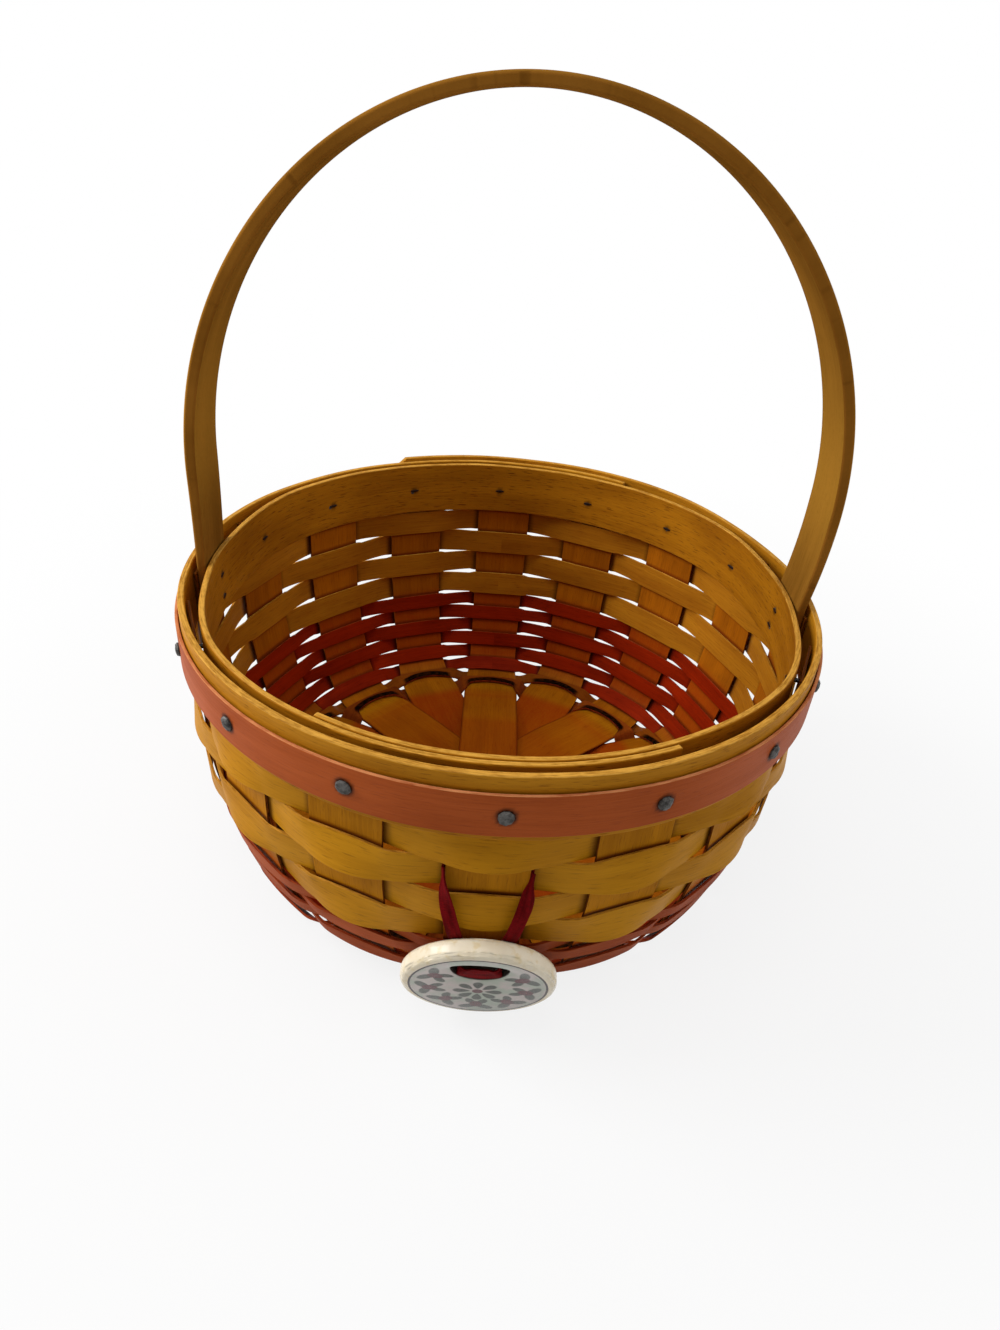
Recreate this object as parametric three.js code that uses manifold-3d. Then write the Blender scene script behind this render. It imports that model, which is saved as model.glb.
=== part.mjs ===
// Round splint basket. Eight uprights cross in a star at the base and stand up as sixteen arms.
// Natural and dyed weavers go over and under them, two nailed rim bands and a dyed trim strip
// bind the top, and a bent hoop handle is held between the bands. A ceramic tag hangs at the
// front on a ribbon. Millimetres, +Z up, origin on the table under the middle of the basket.
import * as THREE from 'three';
import { mergeVertices } from 'three/addons/utils/BufferGeometryUtils.js';
import Module from 'manifold-3d';

const { degToRad, smoothstep, euclideanModulo } = THREE.MathUtils;
const TURN = 2 * Math.PI;

// Clearance between pieces that touch
const FIT = 0.3;

// Body
const RIM_DIAMETER = 198.5;
const BASKET_HEIGHT = 96;
const BASE_RADIUS = 74;
const BASE_LIFT = 2.6;
const HEEL_RADIUS = 13.5;
const BELLY_HEIGHT = 54;

// Uprights, widest in the base and narrowest at the heel
const ARM_COUNT = 16;
const UPRIGHT_WIDTH = 23;
const UPRIGHT_WAIST = 20.6;
const UPRIGHT_RIM_WIDTH = 21.6;
const UPRIGHT_THICKNESS = 0.8;
const UPRIGHT_DROP = 3;
const STAR_FADE = 10;
const STACK_ORDER = [7, 3, 5, 1, 6, 2, 4, 0];

// Weavers
const NATURAL_COUNT = 4;
const NATURAL_WIDTH = 9.4;
const DYED_COUNT = 6;
const REED_COUNT = 2;
const REED_PINCH = 1.8;
const LOWEST_ROW = 67.5;
const WEAVER_THICKNESS = 0.8;
const ROW_GAP = 0.35;
const NATURAL_CROWN = 1.7;
const DYED_CROWN = 0.9;
const REED_CROWN = 0.5;
const EDGE_MARGIN = 1;

// Rim
const BAND_HEIGHT = 20;
const OUTER_BAND_THICKNESS = 2;
const INNER_BAND_THICKNESS = 1.8;
const BAND_STEP = degToRad(6);
const LAP_RAMP = degToRad(42);
const INNER_LAP_START = degToRad(-62);
const INNER_LAP = degToRad(57);
const OUTER_LAP_START = degToRad(61);
const OUTER_LAP = degToRad(57);
const OUTER_LAP_RISE = 1.2;
const TRIM_HEIGHT = 13;
const TRIM_THICKNESS = 1;
const TRIM_DROP = 4.6;
const TRIM_SETTLE = degToRad(16);

// Handle
const HANDLE_WIDTH = 21;
const HANDLE_THICKNESS = 3.4;
const HANDLE_RISE = 133;
const HANDLE_SPLAY = 0.8;
const HANDLE_LEAN = 1.25;
const HANDLE_SPRING = 28;
const HANDLE_EDGE = 0.9;
const FOOT_THICKNESS = 2.8;
const FOOT_LIFT = 1;
const FOOT_EASE = degToRad(30);

// Nails
const NAIL_SHANK = 1.4;
const NAIL_HEAD_DIAMETER = 4.2;
const NAIL_HEAD_HEIGHT = 1.1;
const NAIL_POINT = 1.6;
const NAIL_TURN = degToRad(1.6);
const HANDLE_NAIL_PITCH = 7;

// Ribbon and tag
const RIBBON_WIDTH = 3.8;
const RIBBON_THICKNESS = 0.5;
const RIBBON_LEAN = 1;
const TIED_ARM = ARM_COUNT / 2;
const TIED_ROW = 1;
const TAG_DIAMETER = 43;
const TAG_THICKNESS = 5.6;
const TAG_SHOULDER = 2;
const TAG_TILT = degToRad(16.5);
const TAG_TABLE_GAP = 0.5;
const TAG_STANDOFF = 1.8;
const SLOT_WIDTH = 15.6;
const SLOT_DEPTH = 7.4;
const SLOT_ARCH = 2.5;
const SLOT_BRIDGE = 6.2;
const BIGHT_RADIUS = 6.4;
const BIGHT_FORWARD = 1.8;
const BIGHT_IN_SLOT = degToRad(15);
const BIGHT_BEHIND = degToRad(50);

const finish = (color, roughness, metalness = 0) => () =>
  new THREE.MeshStandardMaterial({ color, roughness, metalness });
const uprightWood = finish(0x9c6418, 0.5);
const naturalWood = finish(0xb27c22, 0.5);
const dyedWood = finish(0x8f2f1c, 0.5);
const reedWood = finish(0x5a1f10, 0.55);
const bandWood = finish(0xbd8a34, 0.5);
const trimWood = finish(0xa9513a, 0.55);
const handleWood = finish(0x93601c, 0.4);
const nailSteel = finish(0x55524e, 0.45, 0.8);
const ribbonSatin = finish(0x6a0f20, 0.6);
const glazedCeramic = finish(0xe6dcc6, 0.2);

const wasm = await Module();
wasm.setup();

const basket = new THREE.Group();

function add(name, geometry, material) {
  const mesh = new THREE.Mesh(geometry, material());
  mesh.name = name;
  basket.add(mesh);
  return mesh;
}

function polar(radius, angle, z) {
  return new THREE.Vector3(radius * Math.cos(angle), radius * Math.sin(angle), z);
}

// Bodies made from points and from cuts

function bodyFrom(positions, faces) {
  const geometry = new THREE.BufferGeometry();
  geometry.setAttribute('position', new THREE.Float32BufferAttribute(positions, 3));
  geometry.setIndex(faces);
  geometry.computeVertexNormals();
  return geometry;
}

function signedVolume(points, faces) {
  let sum = 0;
  for (let i = 0; i < faces.length; i += 3) {
    const [a, b, c] = [points[faces[i]], points[faces[i + 1]], points[faces[i + 2]]];
    sum += a.dot(b.clone().cross(c)) / 6;
  }
  return sum;
}

function loft(sections, closed = false) {
  const corners = sections[0].length;
  const points = sections.flat();
  const faces = [];
  const spans = closed ? sections.length : sections.length - 1;
  for (let i = 0; i < spans; i++) {
    const here = i * corners;
    const next = ((i + 1) % sections.length) * corners;
    for (let j = 0; j < corners; j++) {
      const k = (j + 1) % corners;
      faces.push(here + j, next + j, next + k, here + j, next + k, here + k);
    }
  }
  if (!closed) {
    const end = spans * corners;
    for (let j = 1; j < corners - 1; j++) {
      faces.push(0, j, j + 1, end, end + j + 1, end + j);
    }
  }
  if (signedVolume(points, faces) < 0) faces.reverse();
  return bodyFrom(points.flatMap((p) => p.toArray()), faces);
}

function solidOf(geometry) {
  const bare = geometry.clone();
  bare.deleteAttribute('normal');
  bare.deleteAttribute('uv');
  const merged = mergeVertices(bare, 1e-4);
  const mesh = new wasm.Mesh({
    numProp: 3,
    vertProperties: new Float32Array(merged.attributes.position.array),
    triVerts: new Uint32Array(merged.index.array),
  });
  return new wasm.Manifold(mesh);
}

function cut(geometry, cutters) {
  let body = solidOf(geometry);
  for (const cutter of cutters) body = body.subtract(solidOf(cutter));
  const mesh = body.getMesh();
  return bodyFrom(Array.from(mesh.vertProperties), Array.from(mesh.triVerts));
}

// Wall profile: distance from the middle of the base, along an upright, to a place and a slope

const armPitch = TURN / ARM_COUNT;
const stripCount = ARM_COUNT / 2;
const armAngle = (arm) => Math.PI / 2 - arm * armPitch;
const rimRadius = RIM_DIAMETER / 2;
const rimInside = rimRadius - OUTER_BAND_THICKNESS;
const rimChord = UPRIGHT_RIM_WIDTH ** 2 / (8 * rimInside);
const wallRadius = rimInside - FIT - rimChord - UPRIGHT_THICKNESS / 2;
const bandBottom = BASKET_HEIGHT - BAND_HEIGHT;

const baseLevel = BASE_LIFT + UPRIGHT_THICKNESS / 2;
const heelCentre = new THREE.Vector2(BASE_RADIUS, baseLevel + HEEL_RADIUS);
const belly = new THREE.Vector2(wallRadius, BELLY_HEIGHT);
const toBelly = belly.clone().sub(heelCentre);
const heelTurn = toBelly.angle() + Math.asin(HEEL_RADIUS / toBelly.length());
const heelLength = HEEL_RADIUS * heelTurn;

function onHeel(turn) {
  return new THREE.Vector2(Math.sin(turn), -Math.cos(turn)).multiplyScalar(HEEL_RADIUS).add(heelCentre);
}

const wallTop = new THREE.Vector2(wallRadius, bandBottom);
const wallCurve = new THREE.QuadraticBezierCurve(onHeel(heelTurn), belly, wallTop);
const wallLength = wallCurve.getLength();
const heelEnd = BASE_RADIUS + heelLength;
const rimStart = heelEnd + wallLength;
const rimEnd = rimStart + BAND_HEIGHT;

function profile(path) {
  if (path <= BASE_RADIUS) return { r: path, z: baseLevel, turn: 0 };
  if (path <= heelEnd) {
    const turn = (path - BASE_RADIUS) / HEEL_RADIUS;
    const spot = onHeel(turn);
    return { r: spot.x, z: spot.y, turn };
  }
  if (path >= rimStart) return { r: wallRadius, z: bandBottom + path - rimStart, turn: Math.PI / 2 };
  const share = (path - heelEnd) / wallLength;
  const spot = wallCurve.getPointAt(share);
  return { r: spot.x, z: spot.y, turn: wallCurve.getTangentAt(share).angle() };
}

// A place beside the wall, by distance along it, offset outwards and angle round the basket
function besideWall(path, out, angle, along = 0) {
  const spot = profile(path);
  const r = spot.r + out * Math.sin(spot.turn) + along * Math.cos(spot.turn);
  const z = spot.z - out * Math.cos(spot.turn) + along * Math.sin(spot.turn);
  return polar(r, angle, z);
}

// Uprights: neighbours lie in two layers round the base. At its middle all eight are stacked, and
// the lower ones dip to the table.

const layer = UPRIGHT_THICKNESS + FIT;
const dip = BASE_LIFT / layer;
const petalRadius = UPRIGHT_WIDTH / 2 / Math.sin(armPitch / 2);
const starRadius = UPRIGHT_WIDTH / 2 / Math.sin(armPitch);
const starLag = UPRIGHT_WIDTH * Math.tan(armPitch / 2);

function layersUp(strip, path) {
  const rank = STACK_ORDER[strip] - dip;
  if (strip % 2 === 1) return rank * (1 - smoothstep(path, starRadius, petalRadius - starLag));
  const edge = 1 - smoothstep(path, petalRadius, petalRadius + STAR_FADE);
  return edge + (rank - 1) * (1 - smoothstep(path, starRadius + starLag, petalRadius));
}

function uprightWidth(path) {
  const waist = smoothstep(path, petalRadius, BASE_RADIUS);
  const flare = smoothstep(path, heelEnd, rimStart);
  const narrowed = UPRIGHT_WIDTH + (UPRIGHT_WAIST - UPRIGHT_WIDTH) * waist;
  return narrowed + (UPRIGHT_RIM_WIDTH - UPRIGHT_WAIST) * flare;
}

function spread(from, to, steps) {
  return Array.from({ length: steps }, (_, i) => from + ((to - from) * (i + 1)) / steps);
}

function uprightPath() {
  const fadeEnd = petalRadius + STAR_FADE;
  const half = [
    starRadius,
    ...spread(starRadius, petalRadius, 5),
    ...spread(petalRadius, fadeEnd, 3),
    ...spread(fadeEnd, heelEnd, 6),
    ...spread(heelEnd, rimStart, 4),
    rimEnd - UPRIGHT_DROP,
  ];
  return [...half.map((path) => -path).reverse(), 0, ...half];
}

function uprightSection(strip, signedPath) {
  const path = Math.abs(signedPath);
  const side = Math.sign(signedPath) || 1;
  const spot = profile(path);
  const angle = armAngle(strip);
  const along = polar(side, angle, 0);
  const across = polar(uprightWidth(path) / 2, angle + Math.PI / 2, 0);
  const out = along.clone().multiplyScalar(Math.sin(spot.turn));
  out.z = -Math.cos(spot.turn);
  const middle = along.clone().multiplyScalar(spot.r);
  middle.z = spot.z;
  middle.addScaledVector(out, -layer * layersUp(strip, path));
  const corner = (width, thickness) =>
    middle.clone().addScaledVector(across, width).addScaledVector(out, (thickness * UPRIGHT_THICKNESS) / 2);
  return [corner(-1, -1), corner(1, -1), corner(1, 1), corner(-1, 1)];
}

// Rows: the natural ones hang from the rim, and the dyed ones and the reeds share the rest. A reed is
// pinched to a narrow arc where it passes inside an arm.

const weaveTop = rimStart - 2 * ROW_GAP;
const naturalPitch = NATURAL_WIDTH + ROW_GAP;
const dyedTop = weaveTop - NATURAL_COUNT * naturalPitch;
const dyedPitch = (dyedTop - LOWEST_ROW) / (DYED_COUNT + REED_COUNT);
const dyedBottom = dyedTop - DYED_COUNT * dyedPitch;
const reedPinch = dyedPitch - ROW_GAP - REED_PINCH;

function rowSet(name, count, top, pitch, material, crown, pinch = 0) {
  return Array.from({ length: count }, (_, i) => ({
    name: `${name}_${i + 1}`,
    path: top - (i + 0.5) * pitch,
    width: pitch - ROW_GAP,
    material,
    crown,
    pinch,
  }));
}

const rows = [
  ...rowSet('natural_weaver', NATURAL_COUNT, weaveTop, naturalPitch, naturalWood, NATURAL_CROWN),
  ...rowSet('dyed_weaver', DYED_COUNT, dyedTop, dyedPitch, dyedWood, DYED_CROWN),
  ...rowSet('base_reed', REED_COUNT, dyedBottom, dyedPitch, reedWood, REED_CROWN, reedPinch),
];

const passesOutside = (row, arm) => (row + arm) % 2 === 0;

// How far a row's middle stands out from the wall line where it crosses an arm
function crossing(row, arm) {
  const { path, width } = rows[row];
  const bow = path < heelEnd ? width ** 2 / (8 * HEEL_RADIUS) : 0;
  const hug = UPRIGHT_THICKNESS / 2 + WEAVER_THICKNESS / 2 + FIT + bow;
  const lift = layer * (arm % 2 === 0 ? layersUp(arm % stripCount, path) : 0);
  if (passesOutside(row, arm)) return hug - lift;
  const ribbonRoom = row === TIED_ROW && arm === TIED_ARM ? RIBBON_THICKNESS + FIT : 0;
  return -hug - lift - ribbonRoom;
}

function weaver(row) {
  const { path, width, crown, pinch } = rows[row];
  const spot = profile(path);
  const edgeAngle = Math.asin((uprightWidth(path) / 2 + EDGE_MARGIN) / spot.r);
  const chordRise = spot.r * (1 - Math.cos(edgeAngle)) * Math.sin(spot.turn);
  const half = WEAVER_THICKNESS / 2;
  const section = (angle, out, narrowing) => [
    besideWall(path, out - half, angle, narrowing - width / 2),
    besideWall(path, out + half, angle, narrowing - width / 2),
    besideWall(path, out + half, angle, width / 2),
    besideWall(path, out - half, angle, width / 2),
  ];
  const sections = [];
  for (let arm = 0; arm < ARM_COUNT; arm++) {
    const angle = armAngle(arm);
    const outside = passesOutside(row, arm);
    const sides = pinch > 0 && !outside ? [1, 0.5, 0, -0.5, -1] : [1, 0, -1];
    for (const side of sides) {
      const nearMiddle = 1 - side ** 2;
      const bulge = outside ? crown * nearMiddle : 0;
      const out = crossing(row, arm) + chordRise * side ** 2 + bulge;
      sections.push(section(angle + side * edgeAngle, out, outside ? 0 : pinch * nearMiddle));
    }
    sections.push(section(angle - armPitch / 2, chordRise, 0));
  }
  return loft(sections, true);
}

// Rim bands: bent strips whose ends lap, the inner one inwards, the outer one outwards and a little up

const legOutside = wallRadius - UPRIGHT_THICKNESS / 2 - FIT;
const legFlat = Math.asin((HANDLE_WIDTH / 2 + FIT) / legOutside);

function innerBandFace(angle) {
  const fromLeg = Math.asin(Math.abs(Math.sin(angle)));
  const bulge = 1 - smoothstep(fromLeg, legFlat, legFlat + FOOT_EASE);
  return legOutside - (FOOT_THICKNESS + FIT) * bulge;
}

const lapShare = (travel) => smoothstep(travel, TURN - LAP_RAMP, TURN);
const innerLapStep = INNER_BAND_THICKNESS + FIT;
const outerLapStep = OUTER_BAND_THICKNESS + FIT;

function bandSection(outside, thickness, angle, bottom, height) {
  return [
    polar(outside, angle, bottom),
    polar(outside, angle, bottom + height),
    polar(outside - thickness, angle, bottom + height),
    polar(outside - thickness, angle, bottom),
  ];
}

function lappedBand(start, direction, lap, thickness, outsideAt, rise = 0) {
  const sweep = TURN + lap;
  const steps = Math.round(sweep / BAND_STEP);
  const sections = [];
  for (let i = 0; i <= steps; i++) {
    const travel = (sweep * i) / steps;
    const angle = start + direction * travel;
    const bottom = bandBottom + rise * lapShare(travel);
    sections.push(bandSection(outsideAt(angle, travel), thickness, angle, bottom, BAND_HEIGHT));
  }
  return loft(sections);
}

const innerBandOutside = (angle, travel) => innerBandFace(angle) - innerLapStep * lapShare(travel);
const outerBandOutside = (angle, travel) => rimRadius + outerLapStep * lapShare(travel);

// The innermost face of the inner band, where a nail comes through
function innerBandInside(angle) {
  const travel = euclideanModulo(INNER_LAP_START - angle, TURN);
  const lastLayer = travel < INNER_LAP ? travel + TURN : travel;
  return innerBandOutside(angle, lastLayer) - INNER_BAND_THICKNESS;
}

function trimInside(angle) {
  const travel = euclideanModulo(angle - OUTER_LAP_START, TURN);
  const climb = travel < OUTER_LAP ? 1 : lapShare(travel);
  const settle = travel < OUTER_LAP ? 0 : 1 - smoothstep(travel, OUTER_LAP, OUTER_LAP + TRIM_SETTLE);
  return rimRadius + FIT + outerLapStep * Math.max(climb, settle);
}

const trimBottom = BASKET_HEIGHT - TRIM_DROP - TRIM_HEIGHT;

function trimStrip() {
  const steps = Math.round(TURN / BAND_STEP);
  const sections = [];
  for (let i = 0; i < steps; i++) {
    const angle = (TURN * i) / steps;
    const outside = trimInside(angle) + TRIM_THICKNESS;
    sections.push(bandSection(outside, TRIM_THICKNESS, angle, trimBottom, TRIM_HEIGHT));
  }
  return loft(sections, true);
}

// Handle: thinned feet between the bands, and half an ellipse on top that leans a little to one side

function handleLeg(side) {
  const splay = HANDLE_SPLAY + side * HANDLE_LEAN;
  const footBottom = bandBottom + FOOT_LIFT;
  const leg = [{ x: side * legOutside, z: footBottom, thickness: FOOT_THICKNESS, turn: (side * Math.PI) / 2 }];
  for (const share of [0, ...spread(0, 1, 4)]) {
    leg.push({
      x: side * (legOutside + splay * (1 - (1 - share) ** 2)),
      z: BASKET_HEIGHT + HANDLE_SPRING * share,
      thickness: FOOT_THICKNESS + (HANDLE_THICKNESS - FOOT_THICKNESS) * share,
      turn: side * Math.atan2(HANDLE_SPRING, 2 * splay * (1 - share)),
    });
  }
  return leg;
}

function handleStations() {
  const spring = BASKET_HEIGHT + HANDLE_SPRING;
  const halfWidth = legOutside + HANDLE_SPLAY;
  const archRise = BASKET_HEIGHT + HANDLE_RISE - spring;
  const arch = spread(0, Math.PI, 28).slice(0, -1).map((angle) => ({
    x: HANDLE_LEAN + halfWidth * Math.cos(angle),
    z: spring + archRise * Math.sin(angle),
    thickness: HANDLE_THICKNESS,
    turn: Math.atan2(archRise * Math.cos(angle), -halfWidth * Math.sin(angle)),
  }));
  return [...handleLeg(1), ...arch, ...handleLeg(-1).reverse()];
}

function handleSection({ x, z, thickness, turn }) {
  const inward = new THREE.Vector2(-Math.sin(turn), Math.cos(turn));
  const at = (depth, y) => new THREE.Vector3(x + inward.x * depth, y, z + inward.y * depth);
  const half = HANDLE_WIDTH / 2;
  return [
    at(0, -half + HANDLE_EDGE),
    at(0, half - HANDLE_EDGE),
    at(HANDLE_EDGE, half),
    at(thickness - HANDLE_EDGE, half),
    at(thickness, half - HANDLE_EDGE),
    at(thickness, -half + HANDLE_EDGE),
    at(thickness - HANDLE_EDGE, -half),
    at(HANDLE_EDGE, -half),
  ];
}

// Nails: one through each arm at the trim's middle, a little to one side of the arm, and a pair one
// above the other at each leg

const nailHeight = trimBottom + TRIM_HEIGHT / 2;
const isLegArm = (arm) => arm % stripCount === stripCount / 2;
const nails = [];
for (let arm = 0; arm < ARM_COUNT; arm++) {
  const heights = isLegArm(arm) ? [-HANDLE_NAIL_PITCH / 2, HANDLE_NAIL_PITCH / 2] : [0];
  const angle = armAngle(arm) + NAIL_TURN;
  for (const height of heights) nails.push({ arm, angle, z: nailHeight + height });
}

function pointOutwards(geometry, nail, radius) {
  geometry.rotateZ(-Math.PI / 2);
  geometry.rotateZ(nail.angle);
  const place = polar(radius, nail.angle, nail.z);
  return geometry.translate(place.x, place.y, place.z);
}

function nailBody(nail) {
  const seat = trimInside(nail.angle) + TRIM_THICKNESS + FIT;
  const length = seat - innerBandInside(nail.angle);
  const outline = [
    [0, -length],
    [NAIL_SHANK / 2, -length + NAIL_POINT],
    [NAIL_SHANK / 2, 0],
    [NAIL_HEAD_DIAMETER / 2, 0],
    [NAIL_HEAD_DIAMETER / 2, NAIL_HEAD_HEIGHT / 2],
    [0, NAIL_HEAD_HEIGHT],
  ];
  const lathe = new THREE.LatheGeometry(outline.map(([r, y]) => new THREE.Vector2(r, y)), 8);
  return pointOutwards(lathe, nail, seat);
}

function nailHole(nail) {
  const bore = NAIL_SHANK / 2 + FIT;
  const outside = trimInside(nail.angle) + TRIM_THICKNESS;
  const inside = innerBandInside(nail.angle);
  const length = outside - inside + 4 * bore;
  const prism = new THREE.CylinderGeometry(bore, bore, length, 4);
  return pointOutwards(prism, nail, (outside + inside) / 2);
}

const holesOf = (wanted) => nails.filter(wanted).map(nailHole);

// Tag: a thick disc with round shoulders and a half-moon slot, held just off the lower rows by its ribbon

const tagUp = new THREE.Vector3(0, -Math.sin(TAG_TILT), Math.cos(TAG_TILT));
const tagOut = new THREE.Vector3(0, -Math.cos(TAG_TILT), -Math.sin(TAG_TILT));
const tagRadius = TAG_DIAMETER / 2;
const frontAngle = armAngle(TIED_ARM);

function tagMiddle() {
  const crests = rows.slice(NATURAL_COUNT).flatMap((row, i) => {
    const out = crossing(NATURAL_COUNT + i, TIED_ARM) + row.crown + WEAVER_THICKNESS / 2;
    const edges = [-row.width / 2, row.width / 2];
    return edges.map((edge) => besideWall(row.path, out, frontAngle, edge).dot(tagOut));
  });
  const reach = Math.max(...crests) + TAG_STANDOFF + TAG_THICKNESS / 2;
  const z = TAG_TABLE_GAP + tagRadius * tagUp.z - (TAG_THICKNESS / 2) * tagOut.z;
  return new THREE.Vector3(0, (reach - z * tagOut.z) / tagOut.y, z);
}

const tagCentre = tagMiddle();
const slotLevel = tagRadius - SLOT_BRIDGE - SLOT_ARCH;

function tagBody() {
  const half = TAG_THICKNESS / 2;
  const shoulder = spread(0, Math.PI / 2, 3).map((a) => ({ in: Math.sin(a), drop: 1 - Math.cos(a) }));
  const outline = [new THREE.Vector2(0, -half), new THREE.Vector2(tagRadius - TAG_SHOULDER, -half)];
  for (const { in: out, drop } of shoulder) {
    outline.push(new THREE.Vector2(tagRadius - TAG_SHOULDER * (1 - out), -half + TAG_SHOULDER * drop));
  }
  const front = outline.map((p) => new THREE.Vector2(p.x, -p.y)).reverse();
  const disc = new THREE.LatheGeometry([...outline, ...front], 32);
  const moon = new THREE.Shape();
  moon.moveTo(-SLOT_WIDTH / 2, 0);
  moon.absellipse(0, 0, SLOT_WIDTH / 2, SLOT_DEPTH, Math.PI, TURN, false, 0);
  moon.absellipse(0, 0, SLOT_WIDTH / 2, SLOT_ARCH, 0, Math.PI, false, 0);
  const slot = new THREE.ExtrudeGeometry(moon, {
    depth: 2 * TAG_THICKNESS,
    bevelEnabled: false,
    curveSegments: 7,
  });
  slot.translate(0, slotLevel, -TAG_THICKNESS);
  slot.rotateX(-Math.PI / 2);
  return cut(disc, [slot]);
}

// Ribbon: a tie behind the front upright, and a loop that hangs from its ends through the slot

const tiePath = rows[TIED_ROW].path + NATURAL_WIDTH / 2 - RIBBON_WIDTH / 2;
const tieSpot = profile(tiePath);
const tieX = uprightWidth(tiePath) / 2 + FIT + RIBBON_THICKNESS / 2;
const armFront = -(tieSpot.r + UPRIGHT_THICKNESS / 2);
const armBack = -(tieSpot.r - UPRIGHT_THICKNESS / 2);
const loopTopY = armFront - FIT - RIBBON_THICKNESS / 2;

function ribbonTie() {
  const out = tieX + RIBBON_THICKNESS / 2;
  const inner = tieX - RIBBON_THICKNESS / 2;
  const back = armBack + FIT;
  const tip = armFront;
  const staple = new THREE.Shape();
  staple.moveTo(-out, tip);
  staple.lineTo(-inner, tip);
  staple.lineTo(-inner, back);
  staple.lineTo(inner, back);
  staple.lineTo(inner, tip);
  staple.lineTo(out, tip);
  staple.lineTo(out, back + RIBBON_THICKNESS);
  staple.lineTo(-out, back + RIBBON_THICKNESS);
  staple.closePath();
  const tie = new THREE.ExtrudeGeometry(staple, { depth: RIBBON_WIDTH, bevelEnabled: false });
  return tie.translate(0, 0, tieSpot.z - RIBBON_WIDTH / 2);
}

function onTag(x, up, out) {
  return tagCentre.clone().addScaledVector(tagUp, up).addScaledVector(tagOut, out).setX(x);
}

function loopPoints() {
  const crestRow = TIED_ROW + 1;
  const crestOut = crossing(crestRow, TIED_ARM) + NATURAL_CROWN + WEAVER_THICKNESS / 2;
  const clear = crestOut + FIT + RIBBON_THICKNESS;
  const overTop = besideWall(rows[crestRow].path, clear, frontAngle, NATURAL_WIDTH / 2);
  const overFoot = besideWall(rows[crestRow].path, clear, frontAngle, -NATURAL_WIDTH / 2);
  const behindTag = -(TAG_THICKNESS / 2 + FIT + RIBBON_THICKNESS / 2);
  const bottom = slotLevel - SLOT_DEPTH + 2 * FIT + RIBBON_WIDTH / 2;
  const onBight = (angle, out) =>
    onTag(BIGHT_RADIUS * Math.sin(angle), bottom + BIGHT_RADIUS * (1 - Math.cos(angle)), out);
  const half = [
    new THREE.Vector3(tieX, loopTopY, tieSpot.z),
    overTop.setX(tieX),
    overFoot.setX(tieX - RIBBON_LEAN),
    onTag(BIGHT_RADIUS + RIBBON_LEAN, tagRadius + RIBBON_LEAN, behindTag),
    onBight(Math.PI / 2, behindTag),
    onBight(BIGHT_BEHIND, behindTag),
    onBight(BIGHT_IN_SLOT, BIGHT_FORWARD),
  ];
  const mirrored = half.map((p) => p.clone().setX(-p.x)).reverse();
  return [...half, onBight(0, BIGHT_FORWARD), ...mirrored];
}

function ribbonLoop() {
  const route = new THREE.CatmullRomCurve3(loopPoints(), false, 'centripetal');
  const steps = 28;
  const sections = [];
  for (let i = 0; i <= steps; i++) {
    const place = route.getPointAt(i / steps);
    const along = route.getTangentAt(i / steps);
    const flat = tagOut.clone().addScaledVector(along, -tagOut.dot(along)).normalize();
    const across = along.clone().cross(flat);
    const corner = (w, t) =>
      place.clone()
        .addScaledVector(across, (w * RIBBON_WIDTH) / 2)
        .addScaledVector(flat, (t * RIBBON_THICKNESS) / 2);
    sections.push([corner(-1, -1), corner(1, -1), corner(1, 1), corner(-1, 1)]);
  }
  return loft(sections);
}

// The assembled basket

for (let strip = 0; strip < stripCount; strip++) {
  const sections = uprightPath().map((path) => uprightSection(strip, path));
  const holes = holesOf((nail) => nail.arm % stripCount === strip);
  add(`upright_${strip + 1}`, cut(loft(sections), holes), uprightWood);
}
rows.forEach((row, i) => add(row.name, weaver(i), row.material));

const innerBand = lappedBand(INNER_LAP_START, -1, INNER_LAP, INNER_BAND_THICKNESS, innerBandOutside);
const outerBand = lappedBand(
  OUTER_LAP_START, 1, OUTER_LAP, OUTER_BAND_THICKNESS, outerBandOutside, OUTER_LAP_RISE,
);
const everyHole = holesOf(() => true);
add('inner_rim_band', cut(innerBand, everyHole), bandWood);
add('outer_rim_band', cut(outerBand, everyHole), bandWood);
add('trim_strip', cut(trimStrip(), everyHole), trimWood);

const handle = loft(handleStations().map(handleSection));
add('hoop_handle', cut(handle, holesOf((nail) => isLegArm(nail.arm))), handleWood);
nails.forEach((nail, i) => add(`rim_nail_${i + 1}`, nailBody(nail), nailSteel));

add('ribbon_tie', ribbonTie(), ribbonSatin);
add('ribbon_loop', ribbonLoop(), ribbonSatin);
const tag = add('ceramic_tag', tagBody(), glazedCeramic);
tag.position.copy(tagCentre);
tag.rotation.x = Math.PI + TAG_TILT;

export default basket;
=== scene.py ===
"""Round splint basket with a hoop handle and a glazed tag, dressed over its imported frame."""
import math
from bisect import bisect_right

import bmesh
import bpy
from mathutils import Matrix, Vector, noise


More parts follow.
